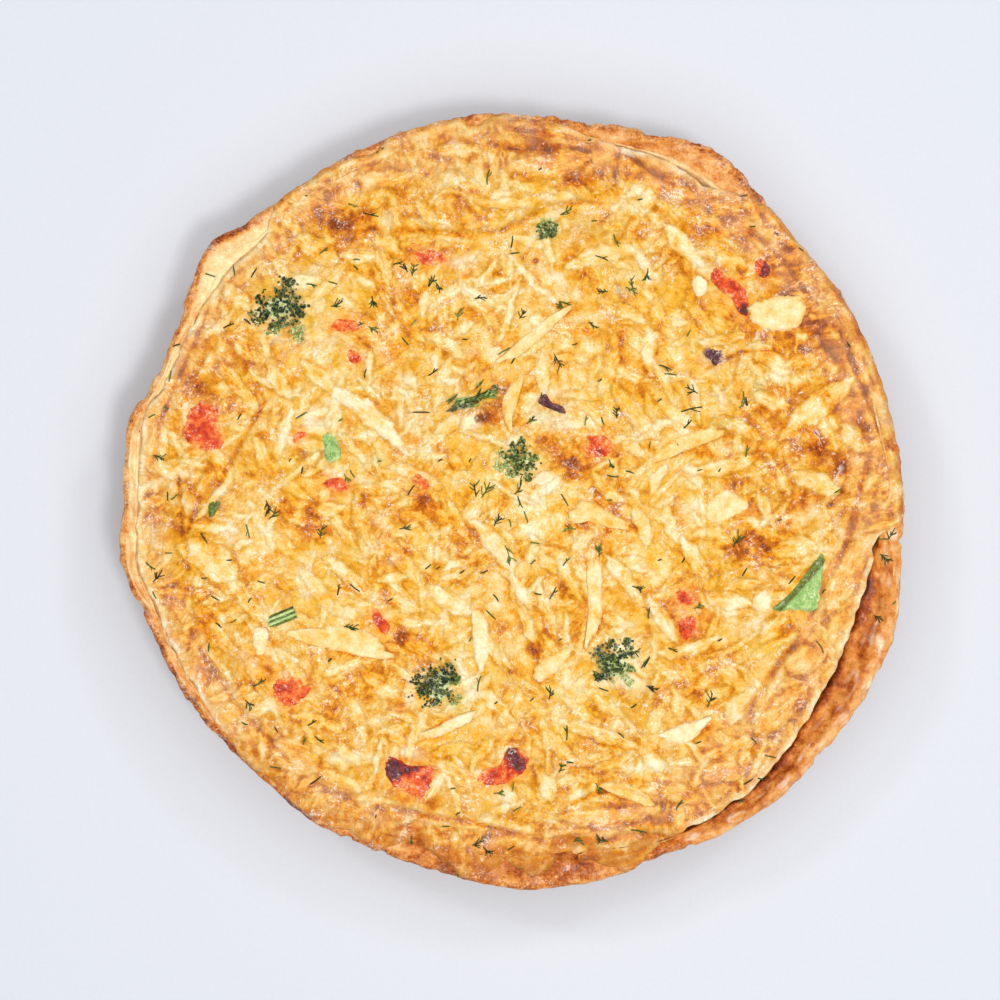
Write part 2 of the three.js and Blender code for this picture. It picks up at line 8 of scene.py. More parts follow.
import bmesh
import bpy
import numpy as np
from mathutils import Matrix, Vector


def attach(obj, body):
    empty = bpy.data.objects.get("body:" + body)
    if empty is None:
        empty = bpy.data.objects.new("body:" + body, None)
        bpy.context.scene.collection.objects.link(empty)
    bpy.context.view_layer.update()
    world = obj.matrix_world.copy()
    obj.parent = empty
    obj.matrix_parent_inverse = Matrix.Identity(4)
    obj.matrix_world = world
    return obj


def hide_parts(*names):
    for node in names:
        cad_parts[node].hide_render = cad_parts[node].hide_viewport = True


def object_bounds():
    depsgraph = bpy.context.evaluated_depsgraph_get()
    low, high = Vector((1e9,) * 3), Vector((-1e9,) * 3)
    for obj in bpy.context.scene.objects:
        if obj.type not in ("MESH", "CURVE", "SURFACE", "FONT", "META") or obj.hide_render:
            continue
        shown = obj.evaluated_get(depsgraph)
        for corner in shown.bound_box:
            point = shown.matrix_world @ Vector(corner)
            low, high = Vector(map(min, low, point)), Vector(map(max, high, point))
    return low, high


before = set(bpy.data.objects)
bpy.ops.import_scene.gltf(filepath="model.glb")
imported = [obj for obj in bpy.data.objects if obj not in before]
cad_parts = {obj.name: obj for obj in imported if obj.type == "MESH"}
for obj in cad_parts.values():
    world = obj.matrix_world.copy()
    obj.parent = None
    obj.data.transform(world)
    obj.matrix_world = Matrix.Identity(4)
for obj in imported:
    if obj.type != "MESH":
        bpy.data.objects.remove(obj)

CAD_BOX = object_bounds()

# Driving dimensions, in millimetres. They are those of the solids.
MM = 0.001
MM_PER_PIXEL = 0.305
CENTRE_PX = (512.0, 501.0)
PHOTO_WIDTH_PX = 1000
RIM_HEIGHT = 33.0
RIM_WAVE = 0.9
MEAN_RADIUS = 119.0
BASE_RADIUS = 111.0
BASE_FOLLOWS = 0.3
BASE_THICKNESS = 4.0
WALL_AT_BASE = 4.0
FOOT_ROUND = 1.6
EDGE_ROUND = 1.7
PLEATS = 20
PLEAT_DEPTH = 0.5
CRUMBLE = 0.4
GAP = 0.4
CUSTARD_HEIGHT = 31.6
RISEN_AT, RISEN_WIDTH, RISEN_HEIGHT = 0.84, 0.13, 3.0

# Strands: how much of its listed width each shows, how many more lie between and how far out they reach, and
# how drawn out their grain is.
LISTED_WIDTH = 0.8
RANDOM_STRANDS = 980
STRANDS_REACH = 116
GRAIN_STRETCH = 0.28

# How far inside the solids' box the points are held, and the radii at which angles become lengths for noise.
INSIDE = 0.002
SKIN_ARC_RADIUS = 110.0
CASE_ARC_RADIUS = 118

# Seeds of the random draws.
STRAND_SEED = 11
LEAF_SEED = 17
DILL_SEED = 23
FLORET_SEED = 500

# Mesh fineness.
FILLING_RINGS = 170
CASE_SEGMENTS = 960
# Rows of points between the corners of the case's section, and which of those stretches are straight.
CASE_STEPS = [6, 4, 16, 12, 5, 4, 6, 12, 12, 4, 1]
CASE_STRAIGHT = (0, 1, 9, 10)

# The rim: angle in degrees, radius, width of the crust inside the edge, depth of the groove behind it.
RIM_STATIONS = np.array([
    (0, 120.3, 7, 1), (14, 119.6, 7, 0.8), (30, 119.5, 6.5, 0.8), (42, 118.8, 7, 1), (50, 121, 9, 2),
    (60, 124, 11.5, 3), (70, 120.8, 8, 3), (84, 118.6, 9, 2), (98, 119.5, 10, 1.5), (112, 118, 8, 1),
    (126, 117.4, 6.5, 1.5), (134, 118.6, 9, 3), (140, 122.2, 12, 4), (147, 118.6, 8, 3),
    (160, 115.8, 5.5, 2.5), (168, 120.8, 6.5, 3.5), (178, 119.6, 6.5, 3.5), (189, 121.8, 7, 4),
    (197, 118.6, 6, 3.5), (210, 117.3, 6, 3), (224, 115.3, 5.5, 2), (240, 116.2, 6.5, 2), (256, 116, 10, 1),
    (270, 119.7, 13, 0.6), (284, 120, 12, 0.8), (294, 119.2, 7, 2), (302, 121.3, 8, 3.5),
    (312, 123.2, 9.5, 5), (326, 123.8, 12.5, 6), (340, 124.6, 14.5, 6), (350, 121.6, 11, 4.5),
])

# Waves of the baked top: wavelength, direction in degrees, phase in degrees, height.
TOP_WAVES = [
    (92, 20, 40, 0.55), (64, 75, 200, 0.5), (47, 140, 310, 0.45), (38, 5, 95, 0.35), (31, 110, 20, 0.3),
]

# Strands of cheese: ends x, y, x, y and width in pixels, height in mm, tone from 0 pale to 1 brown.
STRANDS_PX = [
    (222, 365, 255, 408, 18, 1.5, 0.45), (269, 368, 290, 398, 22, 1.6, 0.4),
    (341, 392, 402, 446, 26, 1.7, 0.22), (226, 288, 248, 308, 22, 1.6, 0.4),
    (228, 332, 256, 358, 18, 1.5, 0.45), (371, 236, 400, 254, 20, 1.5, 0.4),
    (271, 500, 316, 527, 20, 1.5, 0.55), (188, 547, 236, 577, 38, 1.9, 0.35),
    (386, 543, 421, 584, 24, 1.6, 0.45), (386, 592, 418, 612, 22, 1.5, 0.5),
    (474, 521, 512, 566, 26, 1.6, 0.25), (512, 570, 528, 604, 20, 1.4, 0.35),
    (430, 588, 466, 612, 24, 1.6, 0.4), (637, 508, 648, 545, 20, 1.5, 0.3),
    (617, 392, 658, 438, 24, 1.6, 0.42), (651, 600, 677, 641, 20, 1.7, 0.3),
    (652, 492, 664, 466, 16, 1.4, 0.3), (687, 472, 752, 460, 22, 1.7, 0.45),
    (791, 474, 834, 490, 24, 1.8, 0.3), (787, 433, 848, 382, 26, 1.6, 0.28),
    (844, 429, 866, 451, 22, 1.7, 0.35), (777, 550, 815, 546, 26, 1.7, 0.35),
    (685, 541, 705, 576, 22, 1.6, 0.35), (707, 595, 746, 604, 26, 1.5, 0.35),
    (828, 612, 860, 545, 34, 1.8, 0.5), (789, 668, 824, 648, 30, 1.9, 0.45),
    (762, 728, 806, 688, 30, 2.0, 0.5), (708, 776, 744, 770, 24, 1.7, 0.5),
    (662, 655, 716, 640, 20, 1.7, 0.4), (728, 722, 750, 692, 24, 1.7, 0.35),
    (558, 722, 632, 744, 20, 1.4, 0.4), (566, 818, 650, 812, 22, 1.9, 0.5),
    (462, 822, 540, 834, 18, 1.8, 0.5), (280, 748, 320, 768, 36, 2.0, 0.45),
    (322, 774, 362, 790, 20, 1.8, 0.5), (296, 714, 340, 728, 16, 1.3, 0.5),
    (506, 168, 580, 160, 28, 1.9, 0.6), (435, 152, 476, 149, 16, 1.5, 0.45),
    (421, 204, 439, 233, 16, 1.4, 0.45), (484, 205, 547, 198, 14, 1.3, 0.4),
    (596, 160, 618, 142, 24, 1.7, 0.35), (666, 228, 700, 264, 20, 1.5, 0.3),
    (768, 262, 800, 252, 16, 1.4, 0.5), (750, 343, 783, 372, 22, 1.5, 0.35),
    (788, 366, 824, 354, 22, 1.8, 0.5), (706, 343, 744, 335, 16, 1.4, 0.35),
    (574, 262, 640, 250, 24, 1.2, 0.38), (654, 302, 672, 336, 22, 1.4, 0.5),
    (600, 300, 640, 318, 20, 1.2, 0.45), (684, 300, 712, 330, 20, 1.3, 0.42),
    (708, 244, 742, 268, 22, 1.3, 0.55), (680, 210, 730, 236, 20, 1.4, 0.55),
    (540, 590, 556, 640, 18, 1.3, 0.42), (560, 560, 580, 600, 18, 1.3, 0.4),
    (520, 608, 536, 650, 16, 1.2, 0.5), (448, 500, 470, 540, 18, 1.3, 0.5),
    (420, 500, 446, 520, 20, 1.4, 0.6), (392, 466, 440, 486, 18, 1.3, 0.5),
    (356, 500, 372, 550, 20, 1.3, 0.5), (330, 560, 372, 600, 22, 1.4, 0.5),
    (400, 636, 440, 660, 22, 1.3, 0.55), (360, 668, 400, 700, 22, 1.3, 0.45),
    (300, 570, 330, 606, 20, 1.3, 0.45), (240, 590, 262, 620, 22, 1.3, 0.5),
    (200, 610, 226, 650, 24, 1.5, 0.5), (212, 450, 232, 486, 20, 1.3, 0.5),
    (256, 440, 276, 476, 22, 1.3, 0.5), (300, 360, 330, 388, 22, 1.4, 0.45),
    (420, 330, 460, 352, 20, 1.3, 0.45), (396, 300, 420, 340, 16, 1.3, 0.5),
    (470, 300, 500, 330, 18, 1.3, 0.5), (300, 240, 340, 262, 24, 1.4, 0.45),
    (360, 180, 410, 176, 20, 1.4, 0.5), (440, 176, 480, 190, 18, 1.3, 0.55),
    (640, 176, 690, 196, 20, 1.4, 0.6), (566, 180, 590, 200, 16, 1.3, 0.5),
    (716, 420, 760, 436, 20, 1.4, 0.45), (756, 396, 790, 408, 20, 1.4, 0.4),
    (610, 560, 640, 600, 20, 1.3, 0.4), (640, 440, 668, 420, 14, 1.4, 0.45),
    (590, 470, 618, 500, 20, 1.3, 0.4), (470, 770, 492, 740, 16, 1.2, 0.35),
    (588, 690, 622, 716, 20, 1.2, 0.4), (640, 740, 662, 770, 22, 1.4, 0.5),
    (540, 770, 552, 800, 22, 1.4, 0.4), (660, 786, 700, 800, 20, 1.5, 0.5),
    (420, 810, 452, 816, 16, 1.4, 0.5), (760, 640, 784, 620, 22, 1.3, 0.5),
    (720, 660, 742, 690, 22, 1.4, 0.5), (690, 690, 720, 672, 18, 1.4, 0.45),
    (800, 420, 820, 452, 22, 1.4, 0.6),
]

# Folds of the skin: points in pixels, height in mm (below zero is a crease), width in mm, added tone.
FOLDS_PX = [
    ([(385, 230), (421, 231), (472, 237), (502, 231), (553, 206), (600, 200)], -1.1, 1.6, 0.05),
    ([(275, 385), (248, 430), (235, 455), (222, 480), (198, 502), (186, 540)], -1.1, 1.7, 0.1),
    ([(178, 470), (180, 500), (183, 535), (190, 560)], -0.9, 1.6, 0.08),
    ([(872, 448), (862, 480), (852, 523), (844, 549), (826, 576), (816, 600), (806, 628)], -1.3, 1.7, 0.1),
    ([(820, 649), (800, 640), (784, 654), (770, 676), (752, 700), (748, 730), (766, 757)], -1.2, 1.6, 0.1),
    ([(824, 509), (840, 496), (846, 478), (842, 460)], -1.0, 1.4, 0.25),
    ([(380, 806), (430, 816), (470, 822), (545, 842), (600, 840), (650, 836), (690, 840)], -1.4, 1.6, 0.12),
    ([(566, 806), (596, 792), (624, 788), (652, 802)], -0.9, 1.3, 0.1),
    ([(500, 128), (540, 134), (580, 138), (604, 150)], -1.3, 1.4, 0.3),
    ([(484, 142), (520, 150), (562, 146), (592, 152)], -1.0, 1.3, 0.2),
    ([(560, 182), (576, 176), (590, 160)], -0.9, 1.2, 0.12),
    ([(618, 130), (616, 160), (614, 190)], -1.2, 1.3, 0.12),
    ([(620, 150), (650, 170), (676, 186)], -1.3, 1.5, 0.3),
    ([(700, 224), (740, 240), (776, 262)], -0.8, 1.4, 0.15),
    ([(306, 262), (330, 246), (352, 236), (380, 226)], -0.8, 1.5, 0.02),
    ([(186, 620), (206, 660), (236, 706), (270, 740), (300, 774)], -0.8, 1.6, 0.06),
    ([(210, 300), (196, 340), (176, 380), (158, 430), (150, 480)], -0.6, 1.4, -0.05),
    ([(318, 770), (322, 756), (340, 748)], -1.2, 1.3, 0.05),
    ([(700, 372), (740, 352), (780, 350)], -0.6, 1.2, 0.1),
    ([(520, 262), (538, 238), (566, 214)], -0.7, 1.1, 0.0),
    ([(836, 322), (854, 366), (870, 408), (882, 440)], -0.9, 1.4, 0.3),
    ([(880, 438), (892, 450), (902, 458)], -0.8, 1.2, 0.3),
    ([(744, 226), (784, 262), (812, 300)], -0.8, 1.4, 0.2),
]

# Browned, pale and olive patches: x, y, reach along and across in pixels, direction in degrees, strength.
BROWN_PX = [
    (336, 226, 30, 15, -40, 0.8), (354, 216, 20, 12, 0, 0.45), (188, 522, 16, 26, 70, 0.35),
    (195, 398, 16, 22, 60, 0.22), (183, 380, 16, 34, 60, 0.22), (844, 408, 12, 34, 60, 0.6),
    (813, 447, 30, 18, -35, 0.5), (846, 470, 12, 18, 60, 0.5), (822, 330, 24, 34, 60, 0.55),
    (840, 352, 18, 22, 60, 0.55), (752, 543, 34, 16, -20, 0.45), (748, 556, 26, 18, 0, 0.22),
    (574, 461, 34, 16, -25, 0.55), (510, 672, 4, 4, 0, 0.6), (533, 650, 6, 6, 0, 0.35),
    (535, 261, 4, 4, 0, 0.7), (502, 272, 7, 5, 0, 0.3), (631, 221, 9, 9, 0, 0.3), (640, 238, 8, 8, 0, 0.3),
    (486, 417, 6, 14, 85, 1.6), (492, 406, 20, 8, 0, 0.35), (560, 146, 50, 10, -4, 0.65),
    (520, 124, 40, 6, -4, 0.6), (588, 176, 22, 12, -30, 0.3), (790, 628, 16, 14, 0, 0.35),
    (736, 486, 18, 8, 20, 0.25), (700, 448, 30, 8, 12, 0.3), (640, 160, 30, 10, -30, 0.5),
    (700, 190, 40, 14, -32, 0.4), (660, 140, 40, 8, -30, 0.4), (768, 320, 40, 40, 0, 0.1),
    (800, 300, 24, 30, 60, 0.25), (206, 672, 16, 26, 60, 0.25), (204, 690, 8, 10, 0, 0.3),
    (262, 726, 26, 14, -35, 0.28), (172, 600, 14, 34, 65, 0.15), (424, 500, 14, 10, 0, 0.35),
    (300, 512, 26, 14, -20, 0.3), (318, 536, 14, 16, 0, 0.25), (262, 678, 16, 8, 20, 0.4),
    (246, 350, 20, 16, -40, 0.2), (200, 342, 16, 20, 0, 0.15), (392, 640, 16, 22, 60, 0.3),
    (374, 662, 20, 16, 0, 0.2), (800, 500, 26, 14, 30, 0.28), (862, 512, 14, 40, 78, 0.22),
    (680, 800, 24, 20, 0, 0.35), (650, 700, 14, 10, 0, 0.15), (722, 786, 30, 16, 20, 0.4),
    (800, 700, 24, 16, 50, 0.35), (640, 806, 26, 10, 10, 0.35), (540, 688, 20, 16, 0, 0.12),
    (590, 610, 18, 14, 0, 0.15), (470, 560, 60, 60, 0, 0.05), (700, 360, 20, 8, 0, 0.2),
    (616, 612, 12, 10, 0, 0.12), (458, 214, 24, 14, 0, 0.16), (412, 190, 20, 14, 0, 0.2),
    (570, 256, 14, 14, 0, 0.15), (566, 176, 26, 10, 0, 0.25), (752, 200, 30, 8, -40, 0.5),
    (790, 250, 30, 9, -52, 0.4), (722, 168, 24, 9, -32, 0.4), (716, 204, 64, 20, -35, 0.28),
    (792, 276, 64, 20, -52, 0.28), (858, 372, 40, 10, -70, 0.28), (884, 450, 40, 8, -85, 0.25),
    (664, 146, 30, 8, -20, 0.28), (586, 832, 60, 10, 6, 0.35), (440, 850, 60, 14, -8, 0.35),
    (324, 790, 26, 8, -30, 0.15),
]
PALE_PX = [
    (300, 282, 20, 12, 30, 0.8), (314, 268, 20, 10, 30, 0.7), (460, 264, 14, 11, 0, 0.9),
    (470, 258, 12, 10, 0, 0.6), (631, 683, 20, 12, -15, 1.0), (612, 684, 10, 8, 0, 0.7),
    (318, 424, 12, 26, 80, 0.8), (330, 472, 12, 10, 0, 0.6), (390, 361, 10, 16, 60, 0.5),
    (303, 573, 14, 16, 0, 0.6), (390, 560, 26, 22, 0, 0.35), (470, 421, 16, 12, 0, 0.9),
    (548, 418, 36, 14, -15, 0.7), (344, 757, 24, 9, -10, 0.7), (404, 420, 46, 26, 0, 0.45),
    (392, 438, 50, 14, -30, 0.4), (454, 380, 60, 22, 0, 0.35), (470, 352, 24, 10, 20, 0.55),
    (640, 460, 60, 40, 0, 0.18), (624, 216, 40, 30, 0, 0.25), (500, 570, 40, 26, 0, 0.3),
    (470, 530, 24, 14, 0, 0.35), (286, 344, 20, 26, 70, 0.5), (262, 330, 10, 22, 80, 0.4),
    (350, 300, 20, 8, 0, 0.2), (720, 362, 26, 8, -10, 0.55), (762, 288, 12, 6, 0, 0.4),
    (376, 712, 40, 24, 0, 0.3), (430, 300, 12, 10, 0, 0.3), (432, 244, 26, 12, 0, 0.25),
    (330, 600, 20, 16, 0, 0.25), (374, 156, 18, 10, 20, 0.55), (430, 142, 26, 7, -4, 0.5),
    (480, 184, 8, 18, 85, 0.5), (614, 140, 9, 18, 80, 0.6), (376, 524, 16, 10, 0, 0.45),
    (556, 540, 30, 30, 0, 0.15), (590, 400, 30, 30, 0, 0.15), (530, 740, 60, 40, 0, 0.22),
    (556, 770, 20, 24, 60, 0.35), (700, 520, 40, 40, 0, 0.12), (282, 400, 40, 50, 0, 0.12),
    (242, 404, 12, 34, 80, 0.35), (185, 476, 7, 30, 85, 0.45), (846, 360, 12, 14, 0, 0.4),
    (880, 420, 10, 26, 70, 0.55), (862, 372, 8, 22, 65, 0.4), (840, 520, 10, 30, 70, 0.25),
    (856, 590, 12, 40, 68, 0.4), (850, 640, 8, 30, 60, 0.4), (676, 610, 10, 8, 0, 0.6),
    (604, 446, 14, 10, 0, 0.4), (410, 690, 8, 22, 0, 0.8), (464, 676, 9, 24, 20, 0.8),
    (440, 656, 22, 8, 10, 0.5), (258, 300, 8, 22, 0, 0.5), (410, 752, 22, 8, 0, 0.7),
    (388, 790, 12, 10, 0, 0.3), (420, 756, 24, 8, 0, 0.5), (706, 356, 14, 10, 0, 0.5),
    (640, 616, 14, 14, 0, 0.25), (796, 664, 16, 12, 0, 0.35), (300, 436, 12, 10, 0, 0.3),
    (626, 292, 20, 10, 0, 0.45),
]
OLIVE_PX = [
    (462, 742, 34, 16, 15, 0.8), (430, 756, 20, 12, 0, 0.4), (770, 650, 14, 34, 75, 0.7),
    (728, 732, 24, 12, 35, 0.7), (748, 704, 12, 22, 55, 0.6), (690, 706, 10, 8, 0, 0.3),
    (230, 462, 6, 18, 70, 0.6), (794, 556, 30, 24, 0, 0.3), (500, 240, 34, 10, 10, 0.5),
    (540, 204, 26, 8, 10, 0.4), (410, 236, 40, 8, 0, 0.4), (220, 250, 10, 6, 30, 0.6),
    (480, 250, 22, 12, 0, 0.35), (640, 620, 14, 14, 0, 0.5), (470, 578, 20, 16, 0, 0.35),
    (350, 548, 10, 12, 0, 0.4), (518, 450, 40, 30, 0, 0.25), (740, 340, 22, 18, 0, 0.25),
    (756, 376, 18, 14, 0, 0.3), (436, 676, 26, 30, 0, 0.3), (590, 760, 26, 14, 0, 0.25),
    (640, 586, 14, 10, 0, 0.35), (714, 296, 20, 16, 0, 0.2), (300, 620, 60, 30, 0, 0.12),
]

# Stains that a piece under or beside the skin gives it: x, y, reaches, direction, strength, colour name.
STAINS_PX = [
    (255, 660, 16, 22, 70, 0.5, "orange"), (417, 441, 10, 8, 0, 0.35, "red"),
    (400, 708, 7, 6, 0, 0.5, "red"), (752, 513, 12, 7, 0, 0.35, "red"), (807, 504, 16, 8, 0, 0.3, "red"),
    (438, 262, 26, 9, -5, 0.5, "red"), (344, 326, 20, 8, 0, 0.4, "red"), (356, 362, 14, 7, -30, 0.3, "red"),
    (316, 452, 10, 22, 80, 0.35, "green"), (336, 434, 14, 8, 0, 0.3, "green"),
    (284, 300, 30, 26, 0, 0.3, "green"), (756, 388, 10, 10, 0, 0.6, "green"),
    (728, 423, 16, 6, 0, 0.6, "green"), (404, 374, 12, 8, 0, 0.4, "brown"),
    (622, 290, 14, 9, 0, 0.3, "green"), (440, 672, 18, 10, 0, 0.3, "green"),
    (456, 704, 12, 16, 60, 0.4, "green"), (632, 640, 14, 12, 0, 0.25, "green"),
    (624, 662, 18, 14, 0, 0.3, "green"), (204, 430, 26, 22, 0, 0.3, "orange"),
    (412, 780, 30, 20, -20, 0.35, "red"), (504, 768, 32, 16, 25, 0.35, "red"),
    (292, 690, 26, 14, 0, 0.35, "orange"), (730, 294, 14, 26, 60, 0.4, "red"),
    (600, 446, 20, 14, 0, 0.35, "orange"), (688, 612, 14, 24, 80, 0.3, "red"),
    (338, 486, 16, 10, 0, 0.35, "red"), (553, 404, 22, 16, 0, 0.35, "dark"),
    (714, 360, 12, 10, 0, 0.35, "dark"), (546, 230, 14, 9, 0, 0.35, "green"),
    (474, 402, 32, 12, 12, 0.25, "green"), (518, 462, 30, 22, 0, 0.35, "green"),
    (536, 470, 18, 16, 0, 0.25, "dark"), (379, 460, 7, 5, 0, 0.7, "green"),
    (214, 508, 8, 9, 0, 0.4, "green"), (380, 624, 14, 14, 0, 0.45, "orange"),
    (694, 398, 7, 4, 0, 0.5, "red"), (396, 360, 8, 14, 60, 0.2, "red"), (760, 272, 10, 10, 0, 0.4, "red"),
]

# Dill, as fans of needles and as single needles: x, y in pixels, direction in degrees, length in pixels.
DILL_FANS_PX = [
    (337, 304, 20, 9), (373, 302, -80, 8), (359, 325, 200, 7), (373, 329, -30, 7), (413, 270, 80, 8),
    (432, 281, 60, 9), (438, 286, -60, 6), (459, 314, 75, 9), (480, 298, 10, 7), (522, 314, 60, 7),
    (593, 325, -40, 7), (558, 361, -60, 10), (632, 290, -30, 9), (603, 291, 180, 7), (647, 274, -100, 8),
    (566, 212, 30, 9), (692, 390, 150, 9), (159, 457, -20, 8), (268, 507, -75, 9), (274, 515, 40, 9),
    (321, 532, 80, 9), (158, 576, 50, 10), (405, 528, 10, 8), (346, 478, -60, 7), (475, 490, 100, 9),
    (486, 490, 60, 12), (508, 553, -70, 11), (570, 529, 180, 8), (599, 551, 90, 8), (617, 413, 90, 7),
    (738, 541, 60, 10), (699, 607, 20, 7), (885, 558, -40, 8), (879, 618, -30, 7), (351, 628, -10, 10),
    (250, 704, -50, 8), (550, 694, 80, 8), (601, 678, 160, 10), (634, 652, 0, 8), (652, 688, -20, 8),
    (599, 788, -60, 9), (478, 843, 20, 9), (488, 851, -40, 8), (578, 841, 10, 7), (602, 840, 170, 8),
    (499, 792, 10, 7), (561, 768, 60, 6), (710, 700, 70, 10), (891, 534, 60, 9), (744, 398, -80, 9),
    (497, 521, 60, 8), (611, 464, -70, 6), (561, 306, 150, 8), (632, 283, 100, 7), (637, 588, -20, 7),
    (405, 268, 120, 6), (531, 420, 40, 7), (519, 487, 60, 11),
]
DILL_NEEDLES_PX = [
    (371, 215, -15, 16), (353, 205, -20, 10), (285, 202, -30, 9), (324, 251, 35, 10), (234, 270, 100, 11),
    (254, 273, 60, 11), (210, 275, -15, 10), (312, 285, -10, 11), (333, 283, -15, 9), (229, 326, 25, 12),
    (248, 322, -35, 9), (176, 345, 20, 8), (357, 260, 0, 7), (356, 268, -40, 6), (398, 263, 15, 10),
    (170, 376, 80, 12), (166, 408, -10, 6), (365, 373, 80, 9), (488, 178, 85, 16), (512, 242, 80, 12),
    (515, 253, 5, 9), (616, 241, -70, 14), (602, 258, -20, 14), (430, 282, 70, 10), (413, 323, 45, 9),
    (566, 303, -20, 12), (504, 351, 30, 14), (513, 361, 60, 7), (433, 372, 35, 12), (405, 341, -50, 10),
    (465, 339, 0, 6), (671, 374, -5, 12), (575, 344, 20, 6), (152, 416, 30, 7), (240, 417, 60, 7),
    (168, 496, 90, 9), (175, 497, 40, 8), (301, 415, 30, 13), (248, 531, -75, 14), (205, 538, -60, 12),
    (151, 566, -40, 12), (155, 595, -65, 8), (205, 578, 0, 6), (261, 582, -20, 8), (338, 590, 80, 11),
    (355, 588, -40, 12), (411, 490, 60, 12), (216, 598, -30, 9), (234, 621, 30, 7), (219, 625, -40, 8),
    (292, 632, 10, 9), (209, 647, 85, 9), (261, 682, 30, 15), (169, 553, 0, 7), (421, 412, 0, 17),
    (520, 502, -70, 13), (526, 517, -70, 12), (510, 523, -70, 8), (565, 500, -60, 14), (535, 543, -10, 9),
    (484, 572, 20, 8), (496, 598, -50, 9), (553, 593, 60, 14), (538, 594, -10, 8), (491, 615, -45, 13),
    (603, 421, -75, 9), (586, 420, 80, 10), (630, 472, -15, 9), (613, 476, -10, 12), (650, 445, 90, 7),
    (649, 613, 85, 11), (647, 662, 60, 12), (479, 684, 80, 16), (533, 562, 40, 7), (566, 562, 50, 10),
    (462, 572, 30, 6), (428, 567, 40, 7), (541, 398, 80, 11), (692, 409, 15, 22), (688, 424, 45, 12),
    (679, 447, -60, 14), (747, 451, 80, 12), (745, 572, 60, 9), (791, 580, 50, 10), (684, 560, 60, 6),
    (649, 613, 80, 8), (673, 650, -25, 10), (820, 647, -55, 14), (836, 491, 30, 8), (883, 539, 0, 9),
    (894, 603, 40, 6), (823, 591, 60, 5), (245, 723, -30, 7), (313, 722, 30, 10), (305, 740, 75, 8),
    (320, 739, -40, 12), (277, 729, -60, 6), (276, 767, -10, 11), (316, 780, 35, 14), (411, 840, 80, 9),
    (376, 816, 80, 4), (496, 703, 40, 4), (604, 690, -20, 10), (645, 663, 55, 13), (634, 706, 30, 7),
    (567, 733, 88, 15), (570, 762, -5, 7), (621, 735, -40, 8), (513, 786, 80, 9), (517, 808, 30, 8),
    (458, 813, 35, 6), (446, 826, 0, 8), (679, 804, 60, 12), (511, 848, 30, 8), (412, 840, 85, 9),
    (458, 875, 85, 6), (639, 831, -10, 16), (453, 788, 10, 5), (741, 802, 20, 10), (749, 782, 30, 11),
    (762, 780, -20, 8), (754, 741, -45, 9), (771, 757, -15, 12), (698, 742, 20, 6), (744, 196, 15, 7),
    (752, 227, 0, 6), (780, 235, -15, 10), (801, 251, -40, 8), (689, 333, 60, 8), (848, 345, -60, 6),
    (666, 367, -20, 14), (746, 402, -80, 9), (594, 221, 0, 5), (545, 226, 0, 5), (302, 470, 80, 7),
    (352, 474, -60, 9), (379, 461, 0, 4), (438, 568, 30, 5), (532, 700, 45, 5), (700, 470, 20, 5),
    (610, 500, 10, 5), (660, 560, 20, 4), (720, 640, 30, 5), (560, 640, 20, 4), (470, 640, 60, 5),
    (330, 660, 45, 5), (390, 600, 30, 5), (250, 600, 60, 6), (230, 560, 0, 5), (340, 420, 30, 5),
    (290, 460, 60, 4), (440, 460, 30, 5), (470, 460, 60, 4), (600, 380, 30, 5), (660, 400, 40, 5),
    (720, 470, 60, 4), (780, 520, 20, 4), (640, 200, 10, 5), (540, 170, 30, 4), (590, 140, 20, 4),
    (420, 130, 10, 4), (380, 150, 30, 9), (340, 170, 20, 5), (305, 196, 20, 5),
]

def named(kind, digits, rows):
    """The rows of a table by the names of their nodes, which are numbered from 1."""
    return {f"{kind}_{number:0{digits}d}": row for number, row in enumerate(rows, 1)}


# Outlines of the pieces that lie in the top, in pixels, each over its own node.
PEPPERS_PX = named("pepper_red", 2, [
    [(183, 432), (190, 412), (202, 402), (217, 408), (222, 430), (224, 446), (208, 452), (192, 446)],
    [(273, 686), (278, 678), (288, 675), (300, 678), (305, 686), (313, 684), (309, 693), (301, 701),
     (289, 706), (277, 703)],
    [(384, 766), (392, 756), (410, 764), (432, 766), (434, 776), (424, 796), (412, 796), (392, 784)],
    [(477, 780), (484, 770), (500, 764), (508, 750), (522, 750), (529, 764), (516, 778), (494, 786)],
    [(709, 275), (716, 269), (726, 274), (736, 280), (745, 290), (748, 304), (745, 316), (738, 312),
     (732, 301), (716, 287)],
    [(586, 444), (588, 436), (600, 434), (612, 440), (612, 452), (604, 457), (592, 456), (584, 450)],
    [(674, 600), (676, 590), (684, 587), (694, 592), (697, 602), (690, 607), (680, 605)],
    [(678, 626), (680, 618), (692, 616), (699, 620), (696, 632), (687, 640), (680, 636)],
    [(322, 484), (330, 478), (342, 478), (350, 484), (344, 492), (334, 492)],
    [(413, 256), (420, 249), (434, 250), (446, 254), (446, 262), (434, 266), (420, 264)],
    [(330, 327), (336, 320), (346, 318), (358, 322), (362, 328), (350, 332), (338, 332)],
    [(346, 354), (350, 349), (358, 352), (362, 360), (356, 364), (349, 361)],
    [(754, 264), (759, 258), (766, 262), (770, 270), (767, 278), (760, 279), (755, 272)],
    [(292, 440), (296, 433), (304, 431), (306, 437), (302, 443), (295, 445)],
    [(412, 478), (417, 473), (426, 479), (430, 487), (424, 490), (415, 485)],
    [(371, 618), (376, 608), (382, 616), (390, 626), (386, 636), (378, 630)],
])
